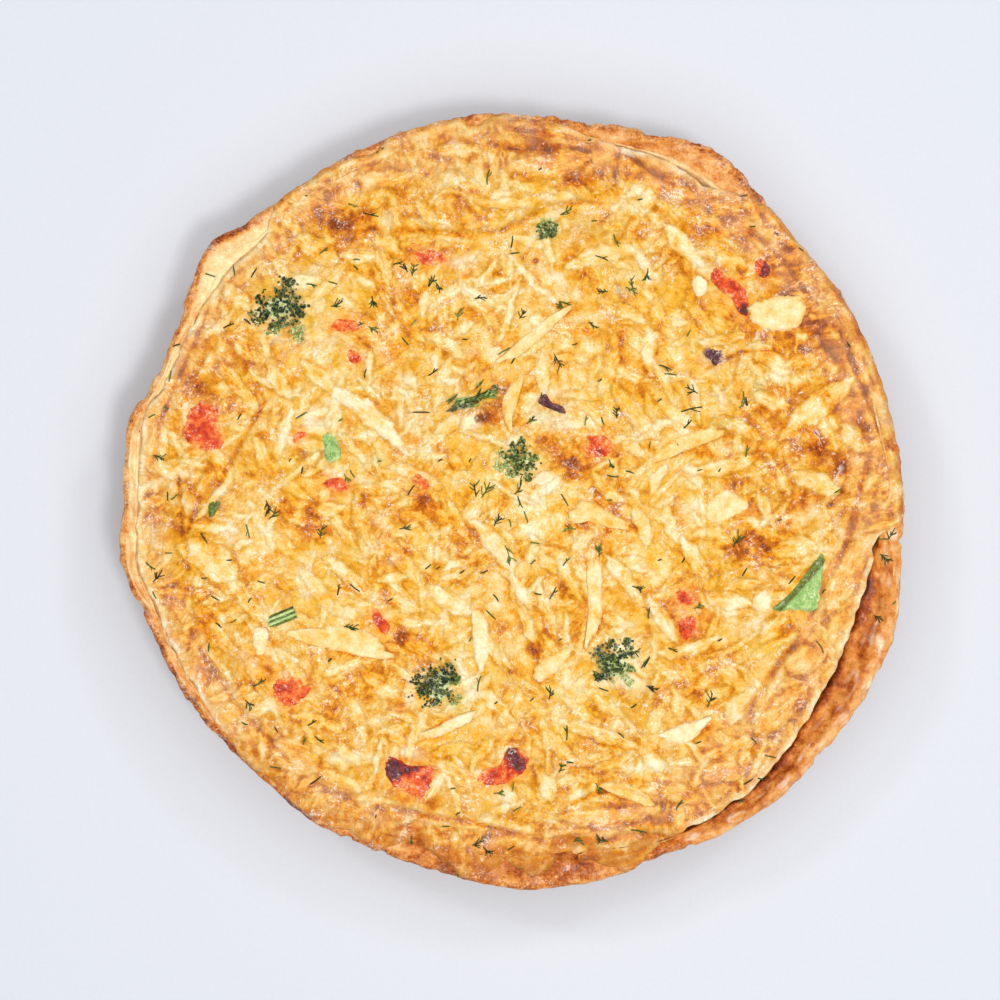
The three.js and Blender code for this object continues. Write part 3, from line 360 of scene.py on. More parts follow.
# Which share of a piece is charred dark, from which side in degrees, and 1 where its very end is red again.
CHARRED = {
    "pepper_red_03": (0.44, 115, 0), "pepper_red_04": (0.38, 35, 1), "pepper_red_05": (0.2, -62, 0),
    "pepper_red_13": (0.5, -20, 0),
}
OLIVES_PX = named("olive", 1, [
    [(703, 352), (708, 348), (722, 350), (723, 360), (716, 366), (709, 360)],
    [(537, 398), (545, 393), (552, 401), (564, 407), (566, 414), (556, 412), (546, 408), (538, 404)],
])
CHEESES_PX = named("cheese", 2, [
    [(496, 363), (508, 350), (530, 330), (552, 314), (573, 304), (566, 314), (548, 332), (520, 356)],
    [(472, 612), (484, 614), (490, 640), (488, 656), (483, 673), (475, 662), (472, 640)],
    [(586, 568), (594, 560), (602, 566), (603, 600), (600, 626), (590, 642), (584, 651), (588, 610)],
    [(422, 732), (436, 727), (456, 716), (474, 712), (470, 722), (450, 732), (434, 738), (425, 737)],
    [(658, 735), (672, 727), (696, 720), (712, 716), (702, 730), (688, 743), (672, 742)],
    [(748, 312), (756, 302), (776, 296), (802, 298), (804, 312), (796, 328), (776, 332), (756, 326)],
    [(706, 508), (716, 496), (730, 491), (750, 504), (738, 514), (722, 524), (710, 520)],
    [(286, 633), (306, 628), (340, 626), (372, 634), (386, 650), (396, 656), (380, 660), (330, 650),
     (300, 642)],
    [(253, 640), (256, 628), (266, 628), (269, 640), (264, 654), (257, 654)],
    [(752, 604), (756, 594), (766, 592), (772, 600), (767, 610), (757, 611)],
    [(692, 282), (697, 275), (706, 280), (707, 290), (700, 297), (694, 292)],
    [(419, 300), (424, 291), (430, 294), (429, 306), (422, 318), (419, 310)],
    [(502, 414), (504, 396), (514, 380), (524, 374), (520, 396), (512, 420), (512, 432), (506, 426)],
    [(566, 518), (582, 500), (596, 504), (624, 520), (628, 530), (610, 528), (588, 522), (576, 524)],
    [(652, 462), (664, 446), (690, 432), (716, 428), (724, 434), (706, 444), (684, 452), (666, 460)],
    [(533, 676), (540, 662), (560, 650), (572, 648), (566, 662), (552, 676), (540, 682)],
    [(598, 784), (616, 780), (636, 786), (652, 798), (650, 806), (630, 800), (610, 792)],
])
# How pale each piece of cheese is, from 0 as brown as the skin to 1 nearly white.
CHEESE_PALE = named("cheese", 2, [
    0.55, 0.8, 0.5, 0.75, 0.9, 0.5, 0.6, 0.4, 0.85, 0.85, 0.95, 0.7, 0.4, 0.3, 0.3, 0.5, 0.3,
])
GREENS_PX = named("pepper_green", 1, [
    [(772, 610), (790, 592), (806, 572), (822, 554), (822, 576), (816, 608), (808, 612), (790, 610)],
    [(322, 440), (324, 433), (332, 434), (340, 450), (338, 460), (326, 461)],
    [(209, 512), (211, 503), (221, 502), (217, 512), (211, 518)],
])
# Florets: x, y and width in pixels, the paler side in degrees, and how dark from 0 to 1.
BROCCOLI_PX = named("broccoli", 1, [
    (281, 312, 66, -70, 0.8),
    (438, 691, 66, -20, 0.82),
    (616, 662, 54, -60, 0.74),
    (518, 460, 50, 200, 0.64),
    (547, 228, 27, 90, 0.6),
])
# Ends x, y, x, y and width of the cut stem and of the leafy clump, and a point on the green wedge's fold.
SPRING_ONION_PX = (268, 623, 295, 612, 12)
LEAF_PX = (446, 409, 499, 391, 20)
WEDGE_FOLD_PX = (800, 588)

# The stem's ribs, the leafy clump, and a floret's buds, as many for each mm of its radius, over its crown.
RIB_TONES = (0.72, 0.2, 0.66, 0.08, 0.8)
LEAF_LOBES = 46
BUD_CLUSTERS = 13
BUDS_PER_MM = 44
CROWN_TONE = 0.16


def at_pixel(x, y):
    """The place on the top, in mm, of a pixel of the photograph."""
    x, y = np.asarray(x, float), np.asarray(y, float)
    return (x - CENTRE_PX[0]) * MM_PER_PIXEL, (CENTRE_PX[1] - y) * MM_PER_PIXEL


def smoothstep(low, high, value):
    t = np.clip((value - low) / (high - low), 0, 1)
    return t * t * (3 - 2 * t)


def closed_curves(table, degrees):
    """Smooth closed curves through the columns of a table, whose first column is an angle in degrees."""
    angles = table[:, 0]
    n = len(angles)
    at = np.mod(degrees, 360)
    i = np.searchsorted(angles, at, side="right") - 1
    around = [i + k for k in (-1, 0, 1, 2)]
    a, b, c, d = [angles[k % n] + 360 * (k // n) for k in around]
    span = c - b
    t = (at - b) / span
    t2, t3 = t * t, t * t * t
    curves = []
    for values in table.T[1:]:
        va, vb, vc, vd = [values[k % n] for k in around]
        slope_b = (vc - va) / (c - a) * span
        slope_c = (vd - vb) / (d - b) * span
        rise = (2 * t3 - 3 * t2 + 1) * vb + (t3 - 2 * t2 + t) * slope_b
        curves.append(rise + (3 * t2 - 2 * t3) * vc + (t3 - t2) * slope_c)
    return curves


def curve_weights(t):
    """Weights of four neighbours on a smooth curve, at share t of the way between the middle two."""
    return (
        -0.5 * t + t * t - 0.5 * t**3,
        1 - 2.5 * t * t + 1.5 * t**3,
        0.5 * t + 2 * t * t - 1.5 * t**3,
        -0.5 * t * t + 0.5 * t**3,
    )


def bell(value, width):
    """1 at zero, falling off on both sides over width."""
    return np.exp(-((value / width) ** 2))


class Rim:
    """The sizes of the rim at an array of angles in radians."""

    def __init__(self, turn):
        degrees = np.degrees(turn)
        radius, self.band, self.groove = closed_curves(RIM_STATIONS, degrees)
        waves = np.sin(2 * turn + 0.6) + 0.6 * np.sin(5 * turn + 2) + 0.4 * np.sin(13 * turn + 1)
        self.crest = RIM_HEIGHT + RIM_WAVE * waves
        self.pleat = PLEAT_DEPTH * np.sin(PLEATS * turn + 1.4 * np.sin(3 * turn))
        chipped = np.sin(17 * turn + 2 * np.sin(2 * turn)) + 0.5 * np.sin(23 * turn + 1)
        self.crumble = CRUMBLE * (chipped - 1.3)
        self.base = BASE_RADIUS + BASE_FOLLOWS * (radius - MEAN_RADIUS)
        self.radius = radius + self.crumble
        self.custard = radius - self.band
        self.crest_radius = self.radius - 1.2 * EDGE_ROUND - 0.12 * self.band
        self.slope_radius = self.radius - 0.62 * self.band
        self.merged = smoothstep(3.0, 1.6, self.groove)


def top_height(x, y):
    """The height of the baked top without strands and folds."""
    rim = Rim(np.arctan2(y, x))
    share = np.hypot(x, y) / rim.custard
    z = CUSTARD_HEIGHT + RISEN_HEIGHT * bell(share - RISEN_AT, RISEN_WIDTH)
    for length, direction, phase, height in TOP_WAVES:
        turn = math.radians(direction)
        along = x * math.cos(turn) + y * math.sin(turn)
        z = z + height * np.sin(2 * np.pi * along / length + math.radians(phase))
    edge = rim.crest - 0.25 * rim.groove + 0.7
    blend = smoothstep(0.9, 1.0, share)
    return z * (1 - blend) + edge * blend


def crust_top(rim, radius):
    """The height of the crust's inner slope, without relief, out to its crest."""
    low = rim.custard + GAP
    first = np.clip((radius - low) / (rim.slope_radius - low), 0, 1)
    second = np.clip((radius - rim.slope_radius) / (rim.crest_radius - rim.slope_radius), 0, 1)
    return rim.crest - rim.groove + 0.55 * rim.groove * first + 0.45 * rim.groove * second


def noise(x, y, seed=0):
    """Smooth gradient noise of two coordinates, about -1 to 1, with features one unit apart."""
    table = np.random.default_rng(seed).permutation(256)
    xi, yi = np.floor(x).astype(int), np.floor(y).astype(int)
    xf, yf = x - xi, y - yi

    def corner(dx, dy):
        turn = table[(table[(xi + dx) & 255] + yi + dy) & 255] * (2 * np.pi / 256)
        return np.cos(turn) * (xf - dx) + np.sin(turn) * (yf - dy)

    u, v = xf * xf * xf * (xf * (xf * 6 - 15) + 10), yf * yf * yf * (yf * (yf * 6 - 15) + 10)
    low = corner(0, 0) * (1 - u) + corner(1, 0) * u
    high = corner(0, 1) * (1 - u) + corner(1, 1) * u
    return 1.5 * (low * (1 - v) + high * v)


def fractal(x, y, size, octaves, seed):
    """Noise with its largest features size mm apart."""
    total = np.zeros_like(x)
    for k in range(octaves):
        total += noise(x / size * 2**k, y / size * 2**k, seed + k) / 2**k
    return total


def ridged(x, y, size, octaves, seed):
    """Wrinkles: thin raised lines about size mm apart, from 0 to about 1."""
    total = np.zeros_like(x)
    for k in range(octaves):
        total += (1 - np.abs(noise(x / size * 2**k, y / size * 2**k, seed + k))) ** 2 / 2**k
    return total / 2


def spot(x, y, px, py, along, across, direction):
    """A soft oval patch round a pixel, 1 in the middle, with its reaches in pixels."""
    cx, cy = at_pixel(px, py)
    turn = math.radians(direction)
    u = ((x - cx) * math.cos(turn) + (y - cy) * math.sin(turn)) / (along * MM_PER_PIXEL)
    v = (-(x - cx) * math.sin(turn) + (y - cy) * math.cos(turn)) / (across * MM_PER_PIXEL)
    return np.exp(-1.2 * (u * u + v * v))


def strongest(x, y, patches):
    """The strongest of the listed patches at each point."""
    return np.maximum.reduce([strength * spot(x, y, *patch) for *patch, strength in patches])


def polyline_distance(x, y, points):
    """Distance in mm from a line through pixels, its side as a sign, and the share of the way along it."""
    px, py = at_pixel(*np.transpose(points))
    best = np.full(x.shape, 1e9)
    side = np.zeros_like(x)
    along = np.zeros_like(x)
    for k in range(len(points) - 1):
        dx, dy = px[k + 1] - px[k], py[k + 1] - py[k]
        length = math.hypot(dx, dy)
        t = np.clip(((x - px[k]) * dx + (y - py[k]) * dy) / length**2, 0, 1)
        away = np.hypot(x - px[k] - t * dx, y - py[k] - t * dy)
        closer = away < best
        best = np.where(closer, away, best)
        cross = dx * (y - py[k]) - dy * (x - px[k])
        side = np.where(closer, np.sign(cross), side)
        along = np.where(closer, (k + t) / (len(points) - 1), along)
    return best, side, along


ATTRIBUTE_KINDS = {1: ("FLOAT", "value"), 3: ("FLOAT_VECTOR", "vector"), 4: ("FLOAT_COLOR", "color")}


def make_mesh(name, points_mm, faces, material, attributes=None, smooth=True):
    """A mesh object from points in mm and faces of three or four corners, with values for its points."""
    mesh = bpy.data.meshes.new(name)
    points = np.asarray(points_mm, dtype=np.float32) * MM
    flat = [np.asarray(f, dtype=np.int32) for f in faces]
    corners = np.concatenate([f.ravel() for f in flat])
    totals = np.concatenate([np.full(len(f), f.shape[1], dtype=np.int32) for f in flat])
    starts = np.concatenate([[0], np.cumsum(totals)[:-1]]).astype(np.int32)
    mesh.vertices.add(len(points))
    mesh.vertices.foreach_set("co", points.ravel())
    mesh.loops.add(len(corners))
    mesh.loops.foreach_set("vertex_index", corners)
    mesh.polygons.add(len(totals))
    mesh.polygons.foreach_set("loop_start", starts)
    mesh.polygons.foreach_set("loop_total", totals)
    mesh.polygons.foreach_set("use_smooth", np.full(len(totals), smooth))
    mesh.update(calc_edges=True)
    for key, values in (attributes or {}).items():
        values = np.asarray(values, dtype=np.float32)
        kind, field = ATTRIBUTE_KINDS[values.size // len(points)]
        mesh.attributes.new(key, kind, "POINT").data.foreach_set(field, values.ravel())
    mesh.materials.append(material)
    piece = bpy.data.objects.new(name, mesh)
    bpy.context.scene.collection.objects.link(piece)
    return piece


class Shader:
    """A small helper that adds nodes to a new material."""

    def __init__(self, name):
        self.material = bpy.data.materials.new(name)
        self.material.use_nodes = True
        self.tree = self.material.node_tree
        self.surface = self.tree.nodes["Principled BSDF"]

    def add(self, kind, inputs=None, **settings):
        node = self.tree.nodes.new(kind)
        for key, value in settings.items():
            setattr(node, key, value)
        for key, value in (inputs or {}).items():
            self.feed(node.inputs[key], value)
        return node

    def feed(self, socket, value):
        if isinstance(value, bpy.types.NodeSocket):
            self.tree.links.new(value, socket)
        else:
            socket.default_value = value

    def maths(self, operation, a, b, clamp=False):
        return self.add("ShaderNodeMath", {0: a, 1: b}, operation=operation, use_clamp=clamp).outputs[0]

    def plus(self, a, b):
        return self.maths("ADD", a, b)

    def minus(self, a, b):
        return self.maths("SUBTRACT", a, b)

    def times(self, a, b):
        return self.maths("MULTIPLY", a, b)

    def share(self, a, b):
        """The product, held between 0 and 1."""
        return self.maths("MULTIPLY", a, b, clamp=True)

    def mix(self, factor, a, b):
        node = self.add("ShaderNodeMix", {0: factor, 6: a, 7: b}, data_type="RGBA")
        return node.outputs[2]

    def ramp(self, value, stops):
        node = self.add("ShaderNodeValToRGB", {0: value})
        elements = node.color_ramp.elements
        while len(elements) < len(stops):
            elements.new(0.5)
        for element, (position, colour) in zip(elements, stops):
            element.position = position
            element.color = (*colour, 1)
        return node.outputs[0]

    def noise(self, size_mm, detail, vector=None, roughness=0.5, distortion=0.0, kind="FBM"):
        """Noise with features size_mm apart, by place or by another vector in mm."""
        scale = 1 / size_mm
        if vector is None:
            vector = self.add("ShaderNodeTexCoord").outputs["Object"]
            scale = 1 / (size_mm * MM)
        inputs = {"Vector": vector, "Scale": scale, "Detail": detail, "Roughness": roughness}
        inputs["Distortion"] = distortion
        return self.add("ShaderNodeTexNoise", inputs, noise_type=kind).outputs[0]

    def attribute(self, name, output="Vector"):
        return self.add("ShaderNodeAttribute", attribute_name=name).outputs[output]

    def bump(self, height, distance_mm, strength=1.0):
        inputs = {"Strength": strength, "Distance": distance_mm * MM, "Height": height}
        return self.add("ShaderNodeBump", inputs).outputs[0]

    def finish(self, **sockets):
        for key, value in sockets.items():
            self.feed(self.surface.inputs[key.replace("_", " ")], value)
        return self.material

    def finish_food(self, relief, relief_mm, film, film_mm, reach, **sockets):
        """Food under a wet film: relief raises the food itself, film the clear coat over it."""
        return self.finish(
            IOR=1.38,
            Normal=self.bump(relief, relief_mm),
            Subsurface_Radius=reach,
            Coat_IOR=1.45,
            Coat_Normal=self.bump(film, film_mm),
            **sockets,
        )


# Linear colours of the skin from pale to burnt.
SKIN = [
    (0.0, (0.89, 0.76, 0.50)),
    (0.2, (0.88, 0.64, 0.29)),
    (0.4, (0.84, 0.48, 0.095)),
    (0.56, (0.79, 0.33, 0.012)),
    (0.7, (0.67, 0.20, 0.004)),
    (0.84, (0.48, 0.095, 0.004)),
    (1.0, (0.20, 0.028, 0.004)),
]
CREAM = (0.92, 0.84, 0.55, 1)
OLIVE = (0.83, 0.45, 0.024, 1)
# The colour of the painted highlights, and where their noise begins to show.
PAINTED_GLINT = (0.98, 0.92, 0.76, 1)
PAINTED_GLINT_FROM = 0.61


def mottle(s, parts):
    """The sum of several noises about zero, each with its own weight."""
    total = 0.0
    for value, weight in parts:
        total = s.plus(total, s.times(s.minus(value, 0.5), weight))
    return total


def painted_glints(s, patchy=None, along=None):
    """Painted highlights: small pale flecks in the colour where a crinkle would catch the light, from 0 to
    1, more of them in patches.
    """
    fine = s.noise(0.9, 1.5, along, roughness=0.55, distortion=1.2)
    patches = s.times(s.minus(patchy or s.noise(6.0, 2.0), 0.5), 0.5)
    return s.share(s.minus(s.plus(fine, patches), PAINTED_GLINT_FROM), 8.0)


def skin_material():
    s = Shader("baked_skin")
    tone, pale, olive = s.add("ShaderNodeSeparateXYZ", {0: s.attribute("paint")}).outputs
    grain = s.attribute("grain")
    fibre = s.noise(1.0, 4.0, grain, roughness=0.65)
    blotch = s.noise(4.4, 5.0, roughness=0.62)
    fleck = s.noise(0.8, 3.0, roughness=0.7)
    colour = s.ramp(s.plus(tone, mottle(s, [(fibre, 0.85), (blotch, 1.35), (fleck, 0.45)])), SKIN)
    cream = s.share(pale, s.share(s.minus(blotch, 0.3), 3.2))
    colour = s.mix(cream, colour, CREAM)
    colour = s.mix(s.share(olive, s.plus(blotch, 0.3)), colour, OLIVE)
    stained = s.mix(0.35, s.attribute("stain", "Color"), colour)
    colour = s.mix(s.share(s.attribute("stain", "Alpha"), s.plus(0.5, blotch)), colour, stained)
    # Painted highlights: pale glints mixed into the colour, as streaks along the grain and as flecks in
    # patches.
    patchy = s.noise(6.0, 2.0)
    colour = s.mix(s.times(painted_glints(s, patchy, grain), 0.35), colour, PAINTED_GLINT)
    colour = s.mix(s.times(painted_glints(s, patchy), 0.65), colour, PAINTED_GLINT)
    wrinkle = s.noise(1.3, 2.0, grain, kind="RIDGED_MULTIFRACTAL")
    height = s.plus(s.times(wrinkle, 0.35), s.noise(1.6, 2.0, roughness=0.6, distortion=1.2))
    height = s.plus(height, s.times(fleck, 0.25))
    film = s.plus(s.noise(2.6, 2.0, roughness=0.66, distortion=1.4), s.times(wrinkle, 0.25))
    return s.finish_food(
        height, 0.5, film, 1.1, (1.0, 0.5, 0.2),
        Base_Color=colour,
        Roughness=0.4,
        Specular_IOR_Level=0.1,
        Subsurface_Weight=0.2,
        Subsurface_Scale=0.0012,
        Coat_Weight=0.8,
        Coat_Roughness=0.07,
    )


# The crust: its painted highlight colour, its darkest flecks, and its colours from pale to burnt.
CRUST_PAINTED_HIGHLIGHT = (0.95, 0.76, 0.58, 1)
SPECK = (0.16, 0.03, 0.01, 1)
CRUST = [
    (0.0, (0.90, 0.70, 0.38)),
    (0.2, (0.84, 0.54, 0.24)),
    (0.4, (0.77, 0.39, 0.125)),
    (0.56, (0.66, 0.245, 0.042)),
    (0.72, (0.46, 0.110, 0.012)),
    (0.86, (0.24, 0.038, 0.006)),
    (1.0, (0.08, 0.014, 0.005)),
]


def crust_material():
    s = Shader("baked_crust")
    tone, pale, gloss = s.add("ShaderNodeSeparateXYZ", {0: s.attribute("paint")}).outputs
    blotch = s.noise(3.6, 5.0, roughness=0.7)
    crumb = s.noise(1.3, 3.0, roughness=0.65)
    fleck = s.noise(0.6, 2.0, roughness=0.7)
    matte = s.minus(1.0, gloss)
    rough_mottle = s.times(mottle(s, [(crumb, 0.8), (fleck, 0.7)]), s.plus(0.35, matte))
    colour = s.ramp(s.plus(tone, s.plus(mottle(s, [(blotch, 0.8)]), rough_mottle)), CRUST)
    # Painted highlights: where the paint's second channel says, the highlight colour is mixed in.
    colour = s.mix(s.share(pale, s.plus(0.35, blotch)), colour, CRUST_PAINTED_HIGHLIGHT)
    speck = s.share(s.minus(s.noise(0.8, 1.0), 0.68), 10.0)
    colour = s.mix(s.times(speck, 0.55), colour, SPECK)
    # Painted highlights: pale glints on the matte parts of the crust.
    colour = s.mix(s.times(painted_glints(s), s.times(matte, 0.6)), colour, PAINTED_GLINT)
    height = s.plus(s.times(fleck, s.times(matte, 0.6)), s.noise(2.2, 3.0, distortion=0.7))
    film = s.noise(4.0, 3.0, roughness=0.55, distortion=1.0)
    return s.finish_food(
        height, 0.5, film, 1.2, (1.0, 0.45, 0.16),
        Base_Color=colour,
        Roughness=s.minus(0.6, s.times(gloss, 0.25)),
        Specular_IOR_Level=0.12,
        Subsurface_Weight=0.1,
        Subsurface_Scale=0.001,
        Coat_Weight=s.plus(0.15, s.times(gloss, 0.7)),
        Coat_Roughness=0.12,
    )


def piece_material(
    name, stops, bump_mm, roughness, grain_mm=1.2, coat=0.8, scatter=0.12, painted_glint=0.5, uneven=1.0
):
    """A topping: its own tone attribute through a ramp, uneven by noise, with fine relief."""
    s = Shader(name)
    blotch = s.noise(grain_mm * 1.6, 4.0, roughness=0.65)
    fleck = s.noise(grain_mm * 0.5, 2.0, roughness=0.65)
    spread = mottle(s, [(blotch, 0.8 * uneven), (fleck, 0.7 * uneven)])
    colour = s.ramp(s.plus(s.attribute("tone", "Fac"), spread), stops)
    # Painted highlights: pale glints mixed into the colour, scaled by the glint amount.
    colour = s.mix(s.times(painted_glints(s), painted_glint), colour, PAINTED_GLINT)
    height = s.plus(s.noise(grain_mm, 3.0, roughness=0.6, distortion=0.8), s.times(fleck, 0.4))
    film = s.noise(1.5, 1.5, distortion=0.8)
    return s.finish_food(
        height, bump_mm, film, 0.7, (1.0, 0.4, 0.2),
        Base_Color=colour,
        Roughness=roughness,
        Specular_IOR_Level=0.1,
        Subsurface_Weight=scatter,
        Subsurface_Scale=0.001,
        Coat_Weight=coat,
        Coat_Roughness=0.08,
    )


def disc_grid(rings):
    """Ring numbers, angles and triangles of a disc whose ring k has six more points than ring k - 1."""
    ring = np.concatenate([[0]] + [np.full(6 * k, k) for k in range(1, rings + 1)])
    turn = np.concatenate([[0.0]] + [np.arange(6 * k) * (np.pi / 3 / k) for k in range(1, rings + 1)])
    triangles = [np.array([(0, 1 + j, 1 + (j + 1) % 6) for j in range(6)])]
    for k in range(2, rings + 1):
        outer, inner = 1 + 3 * k * (k - 1), 1 + 3 * (k - 1) * (k - 2)
        sector, j = (a.ravel() for a in np.meshgrid(np.arange(6), np.arange(k), indexing="ij"))
        out, out_next = (outer + (sector * k + j + step) % (6 * k) for step in (0, 1))
        inn, inn_next = (inner + (sector * (k - 1) + j + step) % (6 * (k - 1)) for step in (0, 1))
        triangles.append(np.stack([out, out_next, inn], axis=1))
        triangles.append(np.stack([out_next, inn_next, inn], axis=1)[j < k - 1])
    return ring, turn, np.concatenate(triangles)


def tube_grid(rows, columns, start=0):
    """Point numbers in rows that close on themselves, the same moved on by one, and the faces between."""
    index = start + np.arange(rows * columns).reshape(rows, columns)
    right = np.roll(index, -1, axis=1)
    return index, right, np.stack([index[:-1], index[1:], right[1:], right[:-1]], axis=-1).reshape(-1, 4)


def fan(centre, first, second):
    """Triangles from one point to the pairs of neighbours on a ring."""
    return np.stack([np.full(len(first), centre), first, second], axis=1)


def lie_of_strands(x, y):
    """The heading, in radians, of the strands about a point."""
    return 2.4 * noise(x / 34, y / 34, 5) * np.pi


def all_strands():
    """Strands listed from the photograph, then smaller ones between them at seeded random places."""
    rng = np.random.default_rng(STRAND_SEED)
    strands = []
    for x0, y0, x1, y1, width, height, tone in STRANDS_PX:
        (ax, ay), (bx, by) = at_pixel(x0, y0), at_pixel(x1, y1)
        longer_x, longer_y = 0.12 * (bx - ax), 0.12 * (by - ay)
        outer = smoothstep(80, 98, math.hypot((ax + bx) / 2, (ay + by) / 2))
        across = (LISTED_WIDTH + (1 - LISTED_WIDTH) * outer) * width * MM_PER_PIXEL
        ends = (ax - longer_x, ay - longer_y, bx + longer_x, by + longer_y)
        strands.append((*ends, across, 0.75 * height, tone + 0.06))
    for _ in range(RANDOM_STRANDS):
        radius = STRANDS_REACH * math.sqrt(rng.random())
        turn = rng.random() * 2 * math.pi
        x, y = radius * math.cos(turn), radius * math.sin(turn)
        lie = lie_of_strands(x, y) + rng.normal(0, 0.6)
        follow = 0.6 * smoothstep(88, 110, radius)
        heading = lie * (1 - follow) + (turn + math.pi / 2 + rng.normal(0, 0.5)) * follow
        half = rng.uniform(8, 22) / 2
        dx, dy = half * math.cos(heading), half * math.sin(heading)
        tone = np.clip(rng.normal(0.46, 0.08), 0.25, 0.7)
        height = rng.uniform(0.3, 1.0) * (0.55 + 0.45 * noise(x / 17, y / 17, 6))
        strands.append((x - dx, y - dy, x + dx, y + dy, rng.uniform(2.0, 4.8), max(height, 0.08), tone))
    return strands


def strand_relief(x, y, strands):
    """Height, tone and grain of the skin as it lies over the strands, by a soft maximum."""
    sharp = 5.0
    between = 0.49
    weight = np.ones_like(x)
    tone = np.full_like(x, between)
    top = np.zeros_like(x)
    wx = x + 0.8 * noise(x / 4.2, y / 4.2, 21) + 0.3 * noise(x / 1.7, y / 1.7, 22)
    wy = y + 0.8 * noise(x / 4.2, y / 4.2, 23) + 0.3 * noise(x / 1.7, y / 1.7, 24)
    lie = lie_of_strands(x, y)
    along, across = x * np.cos(lie) + y * np.sin(lie), y * np.cos(lie) - x * np.sin(lie)
    grain = np.stack([along * GRAIN_STRETCH, across, np.zeros_like(x)], axis=1)
    for k, (ax, ay, bx, by, width, height, own) in enumerate(strands):
        length = math.hypot(bx - ax, by - ay)
        ux, uy = (bx - ax) / length, (by - ay) / length
        reach = length / 2 + width + 1.5
        mx, my = (ax + bx) / 2, (ay + by) / 2
        near = np.nonzero((np.abs(x - mx) < reach) & (np.abs(y - my) < reach))[0]
        px, py = wx[near] - mx, wy[near] - my
        u = (px * ux + py * uy) / (length / 2)
        curve = 0.07 * length * math.sin(2.3 * k)
        v = (py * ux - px * uy - curve * (u * u - 0.4)) / (width / 2)
        taper = np.clip(1 - np.abs(u + 0.12 * math.sin(k)) ** 2.2, 0, 1) ** 0.75
        inside = 1 - (v / np.maximum(taper, 1e-3)) ** 2
        rise = height * np.clip(inside, 0, 1) ** 0.6 * np.sqrt(taper)
        gain = np.exp(sharp * rise) - 1
        weight[near] += gain
        tone[near] += gain * own
        better = rise > top[near]
        at = near[better]
        top[at] = rise[better]
        grain[at, 0] = (px[better] * ux + py[better] * uy) * GRAIN_STRETCH
        grain[at, 1] = py[better] * ux - px[better] * uy
        grain[at, 2] = 3.7 * k
    return np.log(weight) / sharp, tone / weight, grain


# How wide the tan band inside the skin's edge is: angle in degrees, width in mm.
EDGE_BAND = np.array([
    (0, 11), (20, 10), (40, 9), (70, 9), (90, 9), (110, 7), (130, 6), (160, 6), (180, 8), (200, 9),
    (220, 10), (235, 11), (250, 9), (270, 8), (290, 13), (305, 20), (320, 20), (332, 16), (345, 14),
])

# How far the filling's skin laps over the crust where they merge: angle, share of the crust's band.
LAP = np.array([
    (0, 1.0), (60, 1.0), (120, 1.0), (150, 0.6), (225, 0.8), (245, 0.7), (258, 0.5), (285, 0.5), (310, 0.5),
    (345, 0.8),
])

# The crust round the rim: angle, tone of its slope, of its edge and at the foot of the slope.
CRUST_TONES = np.array([
    (0, 0.36, 0.55, 0.42), (30, 0.38, 0.6, 0.42), (50, 0.42, 0.62, 0.42), (64, 0.48, 0.64, 0.12),
    (80, 0.44, 0.62, 0.4), (100, 0.42, 0.62, 0.45), (120, 0.34, 0.6, 0.4), (134, 0.12, 0.62, 0.0),
    (143, 0.14, 0.8, 0.0), (150, 0.16, 0.55, 0.0), (160, 0.14, 0.5, 0.02), (180, 0.14, 0.5, 0.05),
    (200, 0.34, 0.66, 0.3), (215, 0.42, 0.74, 0.3), (240, 0.44, 0.72, 0.4), (260, 0.62, 0.68, 0.64),
    (280, 0.64, 0.68, 0.64), (295, 0.6, 0.6, 0.74), (312, 0.6, 0.5, 0.84), (330, 0.58, 0.47, 0.84),
    (345, 0.56, 0.48, 0.82), (355, 0.44, 0.52, 0.6),
])
# Linear colours that stain the skin.
STAIN_COLOURS = {
    "red": (0.85, 0.16, 0.06), "orange": (0.93, 0.33, 0.05), "green": (0.42, 0.50, 0.16),
    "brown": (0.45, 0.2, 0.05), "dark": (0.42, 0.22, 0.14), "tan": (0.80, 0.47, 0.24),
    "crust": (0.56, 0.175, 0.03),
}
# Rows of points below the edge of the filling's top: how far outside it, and the share of the way down.
SIDE_ROWS = [(0.0, 0.12), (-0.2, 0.3), (-0.5, 0.5), (-0.8, 0.7), (-0.8, 0.9)]
# Two rows for the foot of the filling: how far inside the case's wall, and how far above its floor.
FOOT_ROWS = [(0.6, 1.0), (2.0, GAP)]


def skin_edge(rim, turn):
    """How far the skin reaches past the custard, merged with the crust or torn, and how pale its lip is."""
    arc = turn * SKIN_ARC_RADIUS

    def ragged(size, seed):
        return noise(arc / size, 0 * arc, seed)

    torn = 1.1 * ragged(12, 30) + 0.8 * ragged(5, 31) + 0.25 * ragged(2.2, 32) + 0.6
    [over_share] = closed_curves(LAP, np.degrees(turn))
    lap = rim.band * (over_share + 0.8 * ragged(16, 33) + 0.12 * ragged(5, 35)) + 0.6 * ragged(2.3, 34)
    lap = np.clip(lap, 0.3, rim.band - 1.1 + 0.6 * ragged(4, 36))
    lip_shown = np.clip(0.55 + 1.1 * ragged(7, 91) + 0.5 * ragged(2, 92), 0, 1)
    return rim.merged * lap + (1 - rim.merged) * torn, lip_shown


